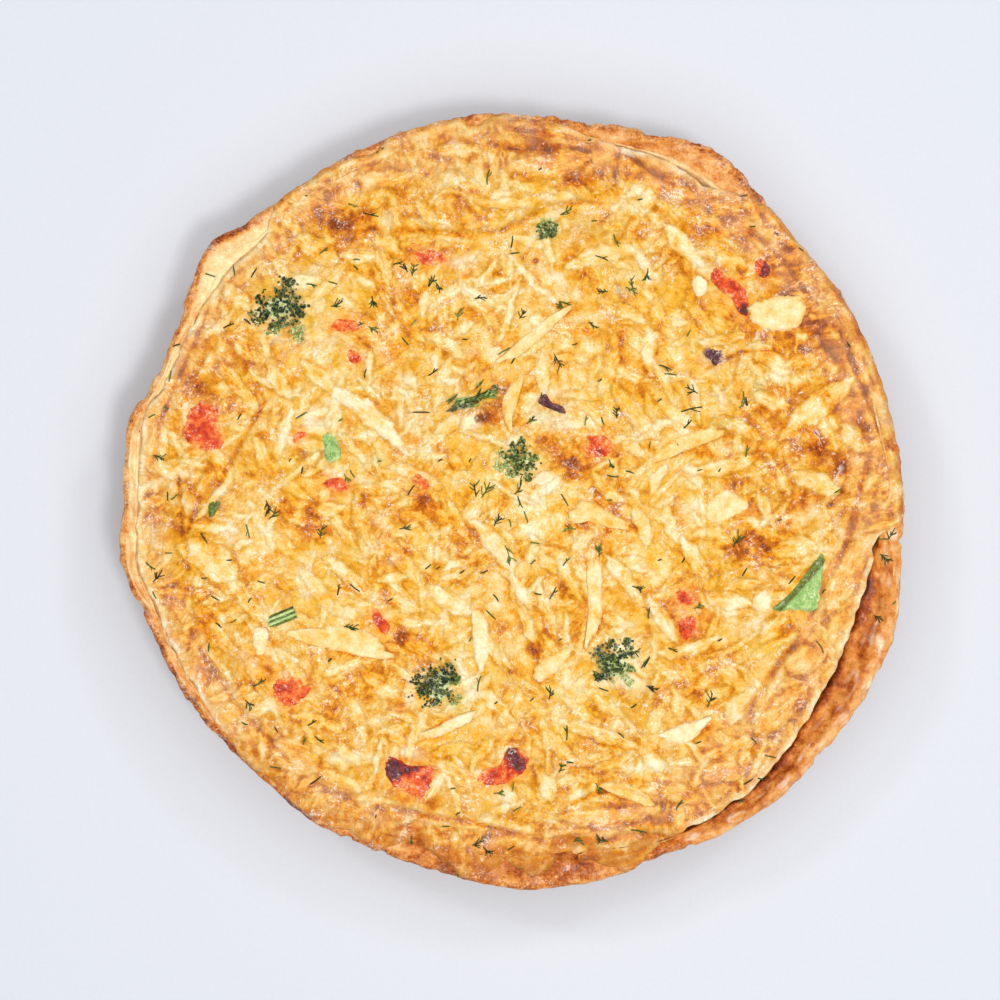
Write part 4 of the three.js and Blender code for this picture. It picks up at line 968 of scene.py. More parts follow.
def skin_height(x, y, rim, radius, lap, relief, grain):
    """The wrinkled skin over strands and custard, and over the crust where it merges with that."""
    warp_x = x + 1.6 * noise(x / 6, y / 6, 41)
    warp_y = y + 1.6 * noise(x / 6, y / 6, 42)
    film = 0.3 * (ridged(warp_x, warp_y, 5.2, 3, 43) - 0.5) + 0.14 * fractal(warp_x, warp_y, 2.4, 2, 47)
    film += 0.16 * (ridged(grain[:, 0] + grain[:, 2], grain[:, 1], 1.9, 2, 49) - 0.5)
    swell = 0.45 * fractal(x, y, 14, 2, 51)
    inward = rim.custard + lap - radius
    edge = smoothstep(4.0, 0.0, inward)
    z = top_height(x, y) + relief * (1 - 0.6 * edge) + film + swell * (1 - edge)
    over = np.maximum(crust_top(rim, radius), rim.crest - 0.3 * rim.groove)
    over = over - 0.3 + 1.2 * smoothstep(0.0, 2.0, inward)
    over = over + (1.7 * film + relief + swell) * smoothstep(0.0, 1.2, inward)
    return z + (over - z) * rim.merged * smoothstep(lap + 4.0, lap, inward)


def fold_skin(x, y, z, tone):
    """Adds the folds of the skin, each with a thin broken shadow painted into its tone along it."""
    broken = np.clip(0.5 + 1.6 * noise(x / 7, y / 7, 57), 0, 1)
    for points, depth, width, added in FOLDS_PX:
        away, side, along = polyline_distance(x, y, points)
        fade = smoothstep(0, 0.12, along) * smoothstep(0, 0.12, 1 - along)
        crease = bell(away, 0.5 * width) * fade
        shoulder = bell(away - 1.5 * width, width) * fade * (side > 0)
        z = z + depth * crease - 0.55 * depth * shoulder
        tone = tone + 0.8 * added * (crease + 0.3 * bell(away, 1.3 * width) * fade)
        # Painted shadow: a thin dark line along each crease, broken by noise.
        tone = tone + 0.28 * (bell(away, 0.55) * fade * broken)
    return z, tone


def press_pieces(x, y, z):
    """Sinks the skin under the pieces, and gives the nearness of cheese and greens, which darkens the skin
    round them as painted shade, and of peppers, which stains it orange.
    """
    bleed = np.zeros((len(x), 2))
    for which, outlines in enumerate(({**CHEESES_PX, **GREENS_PX}, PEPPERS_PX)):
        for outline in outlines.values():
            ox, oy, cx, cy = rounded_outline(outline, 48)
            out = np.hypot(ox - cx, oy - cy)
            far = np.hypot(x - cx, y - cy)
            near = np.nonzero(far < out.max() + 4)[0]
            away = np.hypot(x[near, None] - ox, y[near, None] - oy).min(axis=1)
            ring_turn = np.unwrap(np.arctan2(oy - cy, ox - cx))
            reach = np.interp(np.arctan2(y[near] - cy, x[near] - cx), ring_turn, out, period=2 * np.pi)
            z[near] -= 0.25 * bell(away, 1.1) + 1.2 * smoothstep(0.6, 1.6, reach - far[near])
            bleed[near, which] = np.maximum(bleed[near, which], bell(away, 1.1 + 0.4 * which))
    return bleed


def sunken(z, triangles, share):
    """How deep each point lies below those near it and those further round it, from -1 to 1."""
    edges = np.concatenate([triangles[:, [0, 1]], triangles[:, [1, 2]], triangles[:, [2, 0]]])
    edges = np.unique(np.sort(edges, axis=1), axis=0)
    first, second = edges.T
    counts = np.bincount(edges.ravel(), minlength=len(z))
    depths = []
    for rounds, full in ((3, 0.12), (26, 0.5)):
        mean = z
        for _ in range(rounds):
            total = np.bincount(first, mean[second], len(z)) + np.bincount(second, mean[first], len(z))
            mean = total / counts
        depths.append(np.where(share > 0.985, 0, np.clip((mean - z) / full, -1, 1)))
    return depths


def browned(x, y, tone, share, hollow, valley, bleed):
    """The tone of the baked skin: darker in hollows, in broad clouds and in the listed patches."""
    crevice = smoothstep(0.25, 1.0, hollow) * (0.6 + 0.6 * fractal(x, y, 5, 2, 69))
    tone = tone + 0.06 * hollow + 0.05 * valley + 0.1 * crevice
    tone = tone + 0.17 * fractal(x, y, 22, 3, 61) + 0.17 * fractal(x, y, 6, 3, 67)
    tone = tone + 0.05 * smoothstep(0.55, 0.95, share) - 0.1
    # Painted shade: the skin is darker next to the pieces of cheese and green.
    tone = tone + 0.13 * bleed[:, 0] * np.clip(0.6 + 0.9 * fractal(x, y, 4, 2, 75), 0, 1.3)
    broken = 0.4 + 1.2 * np.clip(0.5 + 0.9 * fractal(x, y, 4, 3, 71), 0, 1)
    for *patch, strength in BROWN_PX:
        tone = tone + strength * spot(x, y, *patch) * broken
    return np.where(tone > 0.66, 0.66 + 0.5 * (tone - 0.66), tone), crevice


def stain_skin(x, y, tan, toasted, bleed):
    """The colour and strength of what stains the skin at each point."""
    stain = np.zeros((len(x), 4))
    stain[:, :3] = STAIN_COLOURS["tan"]
    stain[:, 3] = tan * np.clip(0.32 + 0.3 * fractal(x, y, 8, 3, 87), 0, 0.7)

    def dye(where, amount, name):
        stain[where, :3] = STAIN_COLOURS[name]
        stain[:, 3] = np.maximum(stain[:, 3], amount)

    dye(toasted > stain[:, 3], toasted, "crust")
    dye(bleed > 0.2, 0.55 * bleed, "orange")
    for *patch, strength, name in STAINS_PX:
        own = strength * spot(x, y, *patch)
        dye(own > stain[:, 3], own, name)
    return stain


def build_filling(material):
    """The baked custard: a fine disc over the whole top, its edge and a plain underside."""
    ring, turn, triangles = disc_grid(FILLING_RINGS)
    rim = Rim(turn)
    share = ring / FILLING_RINGS
    lap, lip_shown = skin_edge(rim, turn)
    radius = rim.custard * share + lap * smoothstep(0.8, 1, share)
    inward = rim.custard + lap - radius
    x, y = radius * np.cos(turn), radius * np.sin(turn)

    relief, tone, grain = strand_relief(x, y, all_strands())
    z = skin_height(x, y, rim, radius, lap, relief, grain)
    z, tone = fold_skin(x, y, z, tone)
    on_crust = (rim.merged > 0.5) & (inward < lap + 3) & (inward > 0.3)
    z = np.where(on_crust, np.maximum(z, crust_top(rim, radius) + 0.15), z)
    laid = z.copy()
    bleed = press_pieces(x, y, z)
    hollow, valley = sunken(laid, triangles, share)
    tone, crevice = browned(x, y, tone, share, hollow, valley, bleed)

    pale = smoothstep(0.22, 0.85, strongest(x, y, PALE_PX) + 0.22 * fractal(x, y, 5, 3, 73))
    pale = pale * (1 - smoothstep(0.7, 0.95, tone))
    amber = 0.35 * smoothstep(-0.1, 0.9, valley) + 0.4 * smoothstep(-0.1, 0.5, fractal(x, y, 24, 2, 78))
    olive = np.maximum(1.3 * strongest(x, y, OLIVE_PX), amber * (1 - pale)) + 0.12 * fractal(x, y, 7, 2, 79)
    olive = np.clip(olive * (1 - 0.85 * smoothstep(0.5, 0.72, tone)), 0, 1)

    [edge_band] = closed_curves(EDGE_BAND, np.degrees(turn))
    band = lap + edge_band
    tan = smoothstep(band + 2, band - 3, inward)
    tone = tone * (1 - 0.45 * tan) + 0.45 * tan * (0.46 + 0.3 * fractal(x, y, 6, 3, 83))
    tone = tone + 0.3 * tan * crevice
    south = np.clip(-np.sin(turn) * 1.6 - 0.6, 0, 1)
    uneven = np.clip(0.5 + 1.3 * fractal(x, y, 8, 3, 89), 0, 1.3)
    tone = tone + rim.merged * smoothstep(3.0 + 4 * south, 0.3, inward) * (0.16 + 0.14 * south) * uneven
    lip = smoothstep(2.3, 0.5, inward) * smoothstep(1.8, 3.0, rim.groove) * lip_shown
    pale = np.maximum(pale * (1 - 0.5 * tan), 1.3 * lip)
    olive = olive * (1 - 0.75 * tan)

    patchy = np.clip(1.1 + 1.2 * fractal(x, y, 7, 3, 93), 0, 1.5)
    edge_browning = np.maximum(south * smoothstep(10.0, 3.5, inward), 0.55 * smoothstep(3.0, 0.3, inward))
    stain = stain_skin(x, y, tan, rim.merged * patchy * edge_browning, bleed[:, 1])

    top = {
        "points": np.stack([x, y, z], axis=1),
        "paint": np.stack([np.clip(tone, 0, 1), pale, olive], axis=1),
        "grain": grain,
        "stain": stain,
    }
    parts, side_faces = filling_sides(top, turn, np.nonzero(ring == FILLING_RINGS)[0])
    points = parts.pop("points")
    piece = make_mesh("quiche_filling", points, [triangles, *side_faces], material, parts)
    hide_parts("filling")
    return piece, np.stack([x, y, laid], axis=1)


def filling_sides(top, turn, last):
    """The top with the rows below its edge and the underside, each with its paint, and their faces."""
    turn = turn[last]
    rim = Rim(turn)
    x, y, z = top["points"][last].T
    n = len(last)
    degrees = np.degrees(turn) % 360
    flows_out = smoothstep(112, 128, degrees) * smoothstep(228, 212, degrees) * (1 - rim.merged)
    rows = []
    for row, (out, share_down) in enumerate(SIDE_ROWS):
        foot = np.minimum(rim.crest - rim.groove, z - 0.4)
        reach = np.hypot(x, y) + out * (1 - flows_out) + 0.35 * row * flows_out
        rows.append((reach, z * (1 - share_down) + foot * share_down - 0.1))
    for inside, above in FOOT_ROWS:
        rows.append((rim.base - WALL_AT_BASE - GAP - inside, np.full(n, BASE_THICKNESS + above)))

    parts = {key: [values] for key, values in top.items()}
    index = len(top["points"]) + np.arange(len(rows) * n).reshape(-1, n)
    faces = []
    above = last
    for row, (reach, level) in enumerate(rows):
        parts["points"].append(np.stack([reach * np.cos(turn), reach * np.sin(turn), level], axis=1))
        side_pale = max(0.75 - 0.2 * row, 0) * (1 - rim.merged)
        parts["paint"].append(np.stack([np.full(n, 0.4 + 0.05 * row), side_pale, np.zeros(n)], axis=1))
        parts["grain"].append(top["grain"][last])
        parts["stain"].append(np.zeros((n, 4)))
        here = index[row]
        faces.append(np.stack([above, here, np.roll(here, -1), np.roll(above, -1)], axis=1))
        above = here
    parts["points"].append([[0, 0, BASE_THICKNESS + GAP]])
    parts["paint"].append(np.zeros((1, 3)))
    parts["grain"].append(np.zeros((1, 3)))
    parts["stain"].append(np.zeros((1, 4)))
    faces.append(fan(index[-1, -1] + 1, np.roll(above, -1), above))
    return {key: np.concatenate(values) for key, values in parts.items()}, faces


class SurfaceGuide:
    """Looks up the height of the finished top, so that pieces lie on it."""

    STEP = 0.5
    REACH = 126.0
    EMPTY = -1e3
    FILL_ROUNDS = 6

    def __init__(self, points):
        n = int(2 * self.REACH / self.STEP)
        grid = np.full((n, n), self.EMPTY)
        np.maximum.at(grid, (self.cell(points[:, 0], n), self.cell(points[:, 1], n)), points[:, 2])
        for _ in range(self.FILL_ROUNDS):
            around = [np.roll(grid, step, axis) for step in (1, -1) for axis in (0, 1)]
            grid = np.where(grid < 0, np.maximum.reduce(around), grid)
        self.grid = np.where(grid < 0, RIM_HEIGHT, grid)

    def cell(self, place, n):
        return np.clip(((np.asarray(place) + self.REACH) / self.STEP).astype(int), 0, n - 1)

    def height(self, x, y):
        n = len(self.grid)
        return self.grid[self.cell(x, n), self.cell(y, n)]


def case_section(rim):
    """Radius, height and corner number of each row of points, from under the base out and over to inside."""
    level = 0 * rim.base
    flare = rim.radius - rim.base
    corners = [
        (rim.base * 0.6, level),
        (rim.base - 1.5 * FOOT_ROUND, level),
        (rim.base + 0.3 * rim.pleat, level + FOOT_ROUND),
        (rim.base + 0.5 * flare + rim.pleat, 0.5 * rim.crest),
        (rim.radius - 0.9 + 0.6 * rim.pleat, rim.crest - 3 * EDGE_ROUND),
        (rim.radius, rim.crest - EDGE_ROUND),
        (rim.radius - 0.7 * EDGE_ROUND, rim.crest - 0.1 * EDGE_ROUND),
        (rim.crest_radius, rim.crest),
        (rim.slope_radius, rim.crest - 0.45 * rim.groove),
        (rim.custard + GAP, rim.crest - rim.groove),
        (rim.base - WALL_AT_BASE, level + BASE_THICKNESS + 0.6),
        (rim.base - WALL_AT_BASE - 1, level + BASE_THICKNESS),
    ]
    section = np.array(corners)
    rows, numbers = [], []
    for k, count in enumerate(CASE_STEPS):
        before, after = max(k - 1, 0), min(k + 2, len(corners) - 1)
        straight = k in CASE_STRAIGHT
        for t in np.arange(count) / count:
            weights = (1 - t, t) if straight else curve_weights(t)
            use = (k, k + 1) if straight else (before, k, k + 1, after)
            rows.append(sum(weight * section[i] for weight, i in zip(weights, use)))
            numbers.append(k + t)
    rows.append(section[-1])
    numbers.append(len(corners) - 1)
    r, z = np.array(rows).transpose(1, 0, 2)
    return r, z, np.array(numbers)[:, None] + 0 * r


def build_case(material):
    """The pastry case: one section for each angle, smoothed between the corners of the solid's section."""
    turn = np.arange(CASE_SEGMENTS) * (2 * np.pi / CASE_SEGMENTS)
    rim = Rim(turn)
    r, z, s = case_section(rim)
    a = turn[None, :] + 0 * r
    arc = a * CASE_ARC_RADIUS
    wall = smoothstep(1.6, 2.6, s) * smoothstep(5.2, 4.4, s)
    edge = smoothstep(4.2, 5.0, s) * smoothstep(7.4, 6.2, s)
    slope = smoothstep(6.6, 7.2, s) * smoothstep(9.4, 8.9, s)
    crest = smoothstep(5.2, 5.8, s) * smoothstep(8.2, 7.4, s)
    path = np.cumsum(np.hypot(np.diff(r, axis=0, prepend=r[:1]), np.diff(z, axis=0, prepend=z[:1])), axis=0)

    flaky = fractal(arc / 9, path / 2.2, 1, 3, 101)
    pits = fractal(arc, path, 3.0, 3, 107)
    lumps = fractal(arc, path, 9.0, 2, 113)
    crumbs = ridged(arc, path, 1.6, 2, 117)
    crumbly = 0.3 + 0.7 * np.clip(np.cos(a - math.radians(60)) + 0.3, 0, 1)
    torn = 0.9 * smoothstep(0.35, 0.6, noise(arc / 6.5, path / 30, 141))
    torn = torn + 0.8 * (rim.crumble + 1.3 * CRUMBLE)
    push = wall * (0.28 * flaky + 0.22 * pits + 0.5 * lumps - 0.35)
    push += edge * (crumbly * (0.45 * pits + 0.35 * crumbs) + 0.5 * lumps - 0.5 - torn)
    push += slope * (0.3 * pits + 0.45 * lumps) * (1 - 0.7 * rim.merged)
    push -= 0.5 * rim.merged * smoothstep(6.3, 7.2, s)
    push += slope * (1 - rim.merged) * 0.5 * noise(arc / 4, path / 4, 143)
    dr, dz = np.gradient(r, axis=0), np.gradient(z, axis=0)
    size = np.hypot(dr, dz) + 1e-6
    r = r + push * dz / size
    z = z - push * dr / size
    x, y = r * np.cos(a), r * np.sin(a)
    points = np.stack([x.ravel(), y.ravel(), z.ravel()], axis=1)
    low, high = (np.array(c) / MM for c in CAD_BOX)
    points = np.clip(points, low + (INSIDE, INSIDE, 0), high - INSIDE)

    degrees = np.degrees(turn)
    at_slope, at_edge, at_foot = closed_curves(CRUST_TONES, degrees)
    on_wall = 0.38 + 0.2 * np.clip(z / RIM_HEIGHT, 0, 1) ** 2
    tone = on_wall + smoothstep(4.2, 5.2, s) * (at_edge - on_wall)
    tone = tone + smoothstep(6.4, 7.4, s) * (at_slope - tone)
    tone = tone + smoothstep(7.9, 8.9, s) * (at_foot - tone)
    tone = tone + 0.16 * fractal(arc, path, 16, 3, 121) + 0.12 * fractal(arc, path, 5, 2, 123)
    tone = tone + 0.12 * np.clip(-pits, 0, 1) * (wall + slope)
    tone = np.where(s < 1.2, 0.5 + 0.14 * fractal(x, y, 13, 4, 131), tone)
    lower_right = smoothstep(288, 300, degrees) + smoothstep(6, -2, degrees) * (degrees < 10)
    # Painted highlights: pale streaks along the crest, strongest at the lower right, and pale on the raised
    # crumbs of the edge.
    highlight_streaks = fractal(arc / 6.5, path / 2.0, 1.0, 2, 127) + 0.25 * fractal(arc, path, 1.4, 2, 128)
    highlight_streaks = smoothstep(0.1, 0.9, highlight_streaks) * crest
    pale = 0.12 * np.clip(pits, 0, 1) * edge + (0.2 + 0.45 * lower_right) * highlight_streaks
    gloss = np.where(s < 2.0, 0.1, np.clip(0.35 + 0.5 * lower_right + slope * 0.4, 0, 1))
    paint = np.stack([np.clip(tone, 0, 1).ravel(), np.clip(pale, 0, 1).ravel(), gloss.ravel()], axis=1)

    index, right, quads = tube_grid(*r.shape)
    bottom = fan(index.size, right[0], index[0])
    floor = fan(index.size + 1, index[-1], right[-1])
    points = np.concatenate([points, [[0, 0, 0], [0, 0, BASE_THICKNESS]]])
    paint = np.concatenate([paint, [[0.5, 0, 0.1], [0.3, 0.3, 0.1]]])
    faces = [quads[:, [0, 3, 2, 1]], bottom, floor]
    piece = make_mesh("quiche_case", points, faces, material, {"paint": paint})
    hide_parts("pastry_case")
    return piece, points


def rounded_outline(points_px, count):
    """A closed smooth curve of count points through pixels, in mm, with its middle."""
    corners = np.stack(at_pixel(*np.transpose(points_px)))
    n = len(points_px)
    t = np.arange(count) * n / count
    k = np.floor(t).astype(int)
    x, y = sum(w * corners[:, (k + i) % n] for w, i in zip(curve_weights(t - k), (-1, 0, 1, 2)))
    if np.sum(x * np.roll(y, -1) - y * np.roll(x, -1)) < 0:
        x, y = x[::-1], y[::-1]
    return x, y, x.mean(), y.mean()


def build_chunk(
    name, outline_px, guide, material, tone, seed, proud, sink, depth, lumps, round_mm, rim_tone, blur
):
    """A piece lying in the top, rounded over at its edge and sunk below the skin all round, in mm."""
    count, rings = 96, 22
    ox, oy, cx, cy = rounded_outline(outline_px, count)
    wobble = 1 + 0.09 * noise(ox / 1.8, oy / 1.8, 210 + seed) + 0.05 * noise(ox / 0.7, oy / 0.7, 211 + seed)
    ox, oy = cx + (ox - cx) * wobble, cy + (oy - cy) * wobble
    share = np.linspace(0, 1, rings + 1)[1:, None] ** 0.8
    x = cx + (ox - cx) * share
    y = cy + (oy - cy) * share
    inside = np.hypot(ox - cx, oy - cy) * (1 - share)
    skin = guide.height(x, y)
    floor = np.median(skin)
    rounded = np.clip(1 - (1 - np.clip(inside / (round_mm * 1.8), 0, 1)) ** 2, 0, 1) ** 0.75
    flat = 0.45 * skin + 0.55 * floor + (proud + sink) * rounded
    z = np.maximum(flat, skin + (0.2 + 0.6 * proud + sink) * rounded) - sink
    z = z + lumps * (fractal(x, y, 2.6, 3, 200 + seed) + 0.5 * (ridged(x, y, 2.2, 2, 205 + seed) - 0.5))
    top = np.stack([x, y, z], axis=-1).reshape(-1, 3)
    under = np.stack([ox, oy, z[-1] - depth * 0.5], axis=1)
    lower = np.stack([cx + (ox - cx) * 0.8, cy + (oy - cy) * 0.8, np.full(count, floor - depth)], axis=1)
    middles = [[cx, cy, z[0].mean()], [cx, cy, floor - depth]]
    points = np.concatenate([top, under, lower, middles])
    index, right, quads = tube_grid(rings + 2, count)
    cap = fan(index.size, index[0], right[0])
    base = fan(index.size + 1, right[-1], index[-1])
    near_edge = np.zeros(len(points))
    uneven = inside + 0.4 * blur * noise(x / 1.1, y / 1.1, 215 + seed)
    near_edge[:len(top)] = smoothstep(blur, 0.0, uneven).ravel()
    near_edge[len(top):index.size] = 0.6
    px, py = points[:, 0], points[:, 1]
    near_edge *= np.clip(0.6 + 1.4 * noise(px / 7, py / 7, 218 + seed), 0.1, 1)
    tones = tone(px, py) + rim_tone * near_edge
    return make_mesh(name + "_piece", points, [quads, cap, base], material, {"tone": tones})


def build_chunks(outlines, guide, material, tone_of, seed, slot, **form):
    """One piece for each outline: tone_of gives the function for its tone, and form its sizes in mm."""
    pieces = []
    for k, (name, outline) in enumerate(outlines.items()):
        piece = build_chunk(name, outline, guide, material, tone_of(name), seed + k, **form)
        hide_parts(name)
        pieces.append(piece)
    return pieces


def pepper_tone(name):
    """The tone of a pepper piece: red, and dark on its charred side."""
    _, _, cx, cy = rounded_outline(PEPPERS_PX[name], 24)
    share, side, ends = CHARRED.get(name, (0.0, 0.0, 0))

    def tone(x, y):
        base = 0.39 + 0.2 * fractal(x, y, 4, 2, 301)
        if not share:
            return base
        turn = math.radians(side)
        along = (x - cx) * math.cos(turn) + (y - cy) * math.sin(turn)
        cut = 1 - 2 * share
        place = along / np.abs(along).max() + 0.18 * noise(x / 2, y / 2, 303)
        charred = smoothstep(cut - 0.12, cut + 0.12, place) * (1 - ends * smoothstep(0.6, 0.85, place))
        return base + 0.55 * charred

    return tone


def olive_tone(x, y):
    return 0.5 + 0.35 * fractal(x, y, 3, 2, 310)


def cheese_tone(name):
    """The tone of a piece of cheese, lighter the paler it is listed."""
    middle = 0.42 - 0.4 * CHEESE_PALE[name]
    seed = 320 + list(CHEESES_PX).index(name)
    return lambda x, y: middle + 0.16 * fractal(x, y, 4, 3, seed)


def green_tone(name):
    """The tone of a green piece: the wedge has a pale face, a darker side and a dark line between them."""
    cx, cy = at_pixel(*WEDGE_FOLD_PX)
    turn = math.radians(-42)

    def wedge(x, y):
        fold = (x - cx) * math.cos(turn) + (y - cy) * math.sin(turn)
        return 0.3 + 0.32 * smoothstep(0.6, -0.6, fold) + 0.25 * bell(fold, 0.7)

    return {
        "pepper_green_1": wedge,
        "pepper_green_2": lambda x, y: 0.36 + 0.2 * noise(x / 2, y / 2, 5),
        "pepper_green_3": lambda x, y: 0.72 + 0 * x,
    }[name]


# Linear colours by tone, from light at 0 to dark at 1.
RED_PEPPER = [
    (0.0, (0.90, 0.46, 0.13)), (0.2, (0.84, 0.22, 0.045)), (0.42, (0.68, 0.065, 0.012)),
    (0.62, (0.42, 0.028, 0.012)), (0.8, (0.22, 0.035, 0.035)), (1.0, (0.085, 0.024, 0.032)),
]
DARK_OLIVE = [(0.0, (0.42, 0.2, 0.16)), (0.5, (0.12, 0.035, 0.04)), (1.0, (0.03, 0.012, 0.015))]
GREEN_SKIN = [
    (0.0, (0.66, 0.74, 0.34)), (0.35, (0.28, 0.47, 0.13)),
    (0.7, (0.13, 0.165, 0.028)), (1.0, (0.035, 0.045, 0.009)),
]
BUDS = [
    (0.0, (0.80, 0.80, 0.50)), (0.2, (0.50, 0.56, 0.22)), (0.42, (0.24, 0.29, 0.06)),
    (0.65, (0.06, 0.088, 0.024)), (1.0, (0.007, 0.020, 0.020)),
]
DILL = [
    (0.0, (0.30, 0.34, 0.08)), (0.4, (0.10, 0.15, 0.03)),
    (0.7, (0.03, 0.055, 0.018)), (1.0, (0.028, 0.018, 0.010)),
]


def build_all_chunks(guide, green):
    """The peppers, olives, pieces of cheese and green pieces."""
    red = piece_material("red_pepper", RED_PEPPER, 0.6, 0.3, grain_mm=2.0)
    dark = piece_material("dark_olive", DARK_OLIVE, 0.25, 0.35)
    cheese = piece_material("melted_cheese", SKIN, 0.5, 0.3, grain_mm=2.2, painted_glint=0.35, uneven=0.55)
    pieces = build_chunks(
        PEPPERS_PX, guide, red, pepper_tone, 0, "red_pepper",
        proud=0.15, sink=0.6, depth=3.0, lumps=0.18, round_mm=0.8, rim_tone=-0.36, blur=2.0,
    )
    pieces += build_chunks(
        OLIVES_PX, guide, dark, lambda name: olive_tone, 40, "olive",
        proud=0.25, sink=0.5, depth=2.5, lumps=0.18, round_mm=0.8, rim_tone=-0.4, blur=0.8,
    )
    pieces += build_chunks(
        CHEESES_PX, guide, cheese, cheese_tone, 60, "cheese",
        proud=0.4, sink=0.45, depth=2.2, lumps=0.15, round_mm=1.0, rim_tone=0.12, blur=2.2,
    )
    pieces += build_chunks(
        GREENS_PX, guide, green, green_tone, 90, "green_pepper",
        proud=0.3, sink=0.45, depth=2.4, lumps=0.15, round_mm=0.7, rim_tone=-0.2, blur=0.8,
    )
    return pieces


def tube_mesh(paths, radii, tones, sides):
    """Points, faces and tones of thin closed tubes along paths of points in mm, one tone for each tube."""
    points, faces, shades = [], [], []
    start = 0
    turn = np.arange(sides) * 2 * np.pi / sides
    for path, radius, tone in zip(paths, radii, tones):
        n = len(path)
        along = np.gradient(path, axis=0)
        along /= np.linalg.norm(along, axis=1, keepdims=True) + 1e-9
        side = np.cross(along, [0, 0, 1.0])
        side /= np.linalg.norm(side, axis=1, keepdims=True) + 1e-9
        up = np.cross(side, along)
        out = np.cos(turn)[:, None] * side[:, None, :] + np.sin(turn)[:, None] * up[:, None, :]
        ring = path[:, None, :] + np.broadcast_to(radius, n)[:, None, None] * out
        index, right, quads = tube_grid(n, sides, start)
        first, last = start + n * sides, start + n * sides + 1
        points += [ring.reshape(-1, 3), path[[0, -1]]]
        faces += [quads, fan(first, index[0], right[0]), fan(last, right[-1], index[-1])]
        start = last + 1
        shades += [tone] * (n * sides + 2)
    quads = np.concatenate([face for face in faces if face.shape[1] == 4])
    caps = np.concatenate([face for face in faces if face.shape[1] == 3])
    return np.concatenate(points), [quads, caps], {"tone": shades}


def ends_in_mm(piece_px):
    """The two ends in mm, the heading and the width in mm of a piece given in pixels."""
    x0, y0, x1, y1, width = piece_px
    start, end = np.array(at_pixel(x0, y0)), np.array(at_pixel(x1, y1))
    return start, end, math.atan2(*(end - start)[::-1]), width * MM_PER_PIXEL


def build_spring_onion(guide, material):
    """A short cut of green stem: parallel ribs under one skin, paler between."""
    start, end, heading, width = ends_in_mm(SPRING_ONION_PX)
    t = np.linspace(0, 1, 14)
    paths = []
    for k in range(len(RIB_TONES)):
        off = (k - 2) / 2 * (width / 2 - 0.45)
        px = start[0] + (end[0] - start[0]) * t - off * math.sin(heading)
        py = start[1] + (end[1] - start[1]) * t + off * math.cos(heading)
        level = np.median(guide.height(px, py))
        lift = 0.75 * math.sqrt(max(1 - (off / 1.9) ** 2, 0)) - 0.35
        paths.append(np.stack([px, py, level + lift + 0.08 * np.sin(7 * t + k)], axis=1))
    points, faces, tones = tube_mesh(paths, [0.52] * len(paths), RIB_TONES, sides=8)
    piece = make_mesh("spring_onion_piece", points, faces, material, tones)
    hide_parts("spring_onion")
    return piece


def build_leaf(guide, material):
    """The dark leafy clump: short ribbed lobes side by side along one stem."""
    start, end, heading, width = ends_in_mm(LEAF_PX)
    rng = np.random.default_rng(LEAF_SEED)
    t = np.linspace(0, 1, 7)
    low, high = sorted([start[0], end[0]])
    paths, radii, tones = [], [], []
    for _ in range(LEAF_LOBES):
        t0 = rng.uniform(-0.02, 0.9)
        off = rng.normal(0, 0.34) * width / 2
        length = rng.uniform(2.0, 4.6)
        turn = heading + rng.normal(0.05, 0.28)
        px = start[0] + (end[0] - start[0]) * t0 - off * math.sin(heading) + length * t * math.cos(turn)
        py = start[1] + (end[1] - start[1]) * t0 + off * math.cos(heading) + length * t * math.sin(turn)
        px = np.clip(px, low - 1, high + 0.6)
        z = guide.height(px, py) + 0.25 + rng.uniform(0, 0.55) + 0.3 * np.sin(np.pi * t)
        paths.append(np.stack([px, py, z], axis=1))
        radii.append(0.36 * np.sin(np.pi * (0.12 + 0.8 * t)))
        tones.append(np.clip(rng.normal(0.82, 0.22), 0.3, 1))
    points, faces, shades = tube_mesh(paths, radii, tones, sides=5)
    piece = make_mesh("parsley_leaf_piece", points, faces, material, shades)
    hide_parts("parsley_leaf")
    return piece


def icosphere():
    """Points and faces of a sphere of radius one with 80 faces."""
    mesh = bpy.data.meshes.new("ball")
    ball = bmesh.new()
    bmesh.ops.create_icosphere(ball, subdivisions=2, radius=1.0)
    ball.to_mesh(mesh)
    ball.free()
    points = np.array([v.co for v in mesh.vertices])
    faces = np.array([tuple(p.vertices) for p in mesh.polygons])
    bpy.data.meshes.remove(mesh)
    return points, faces


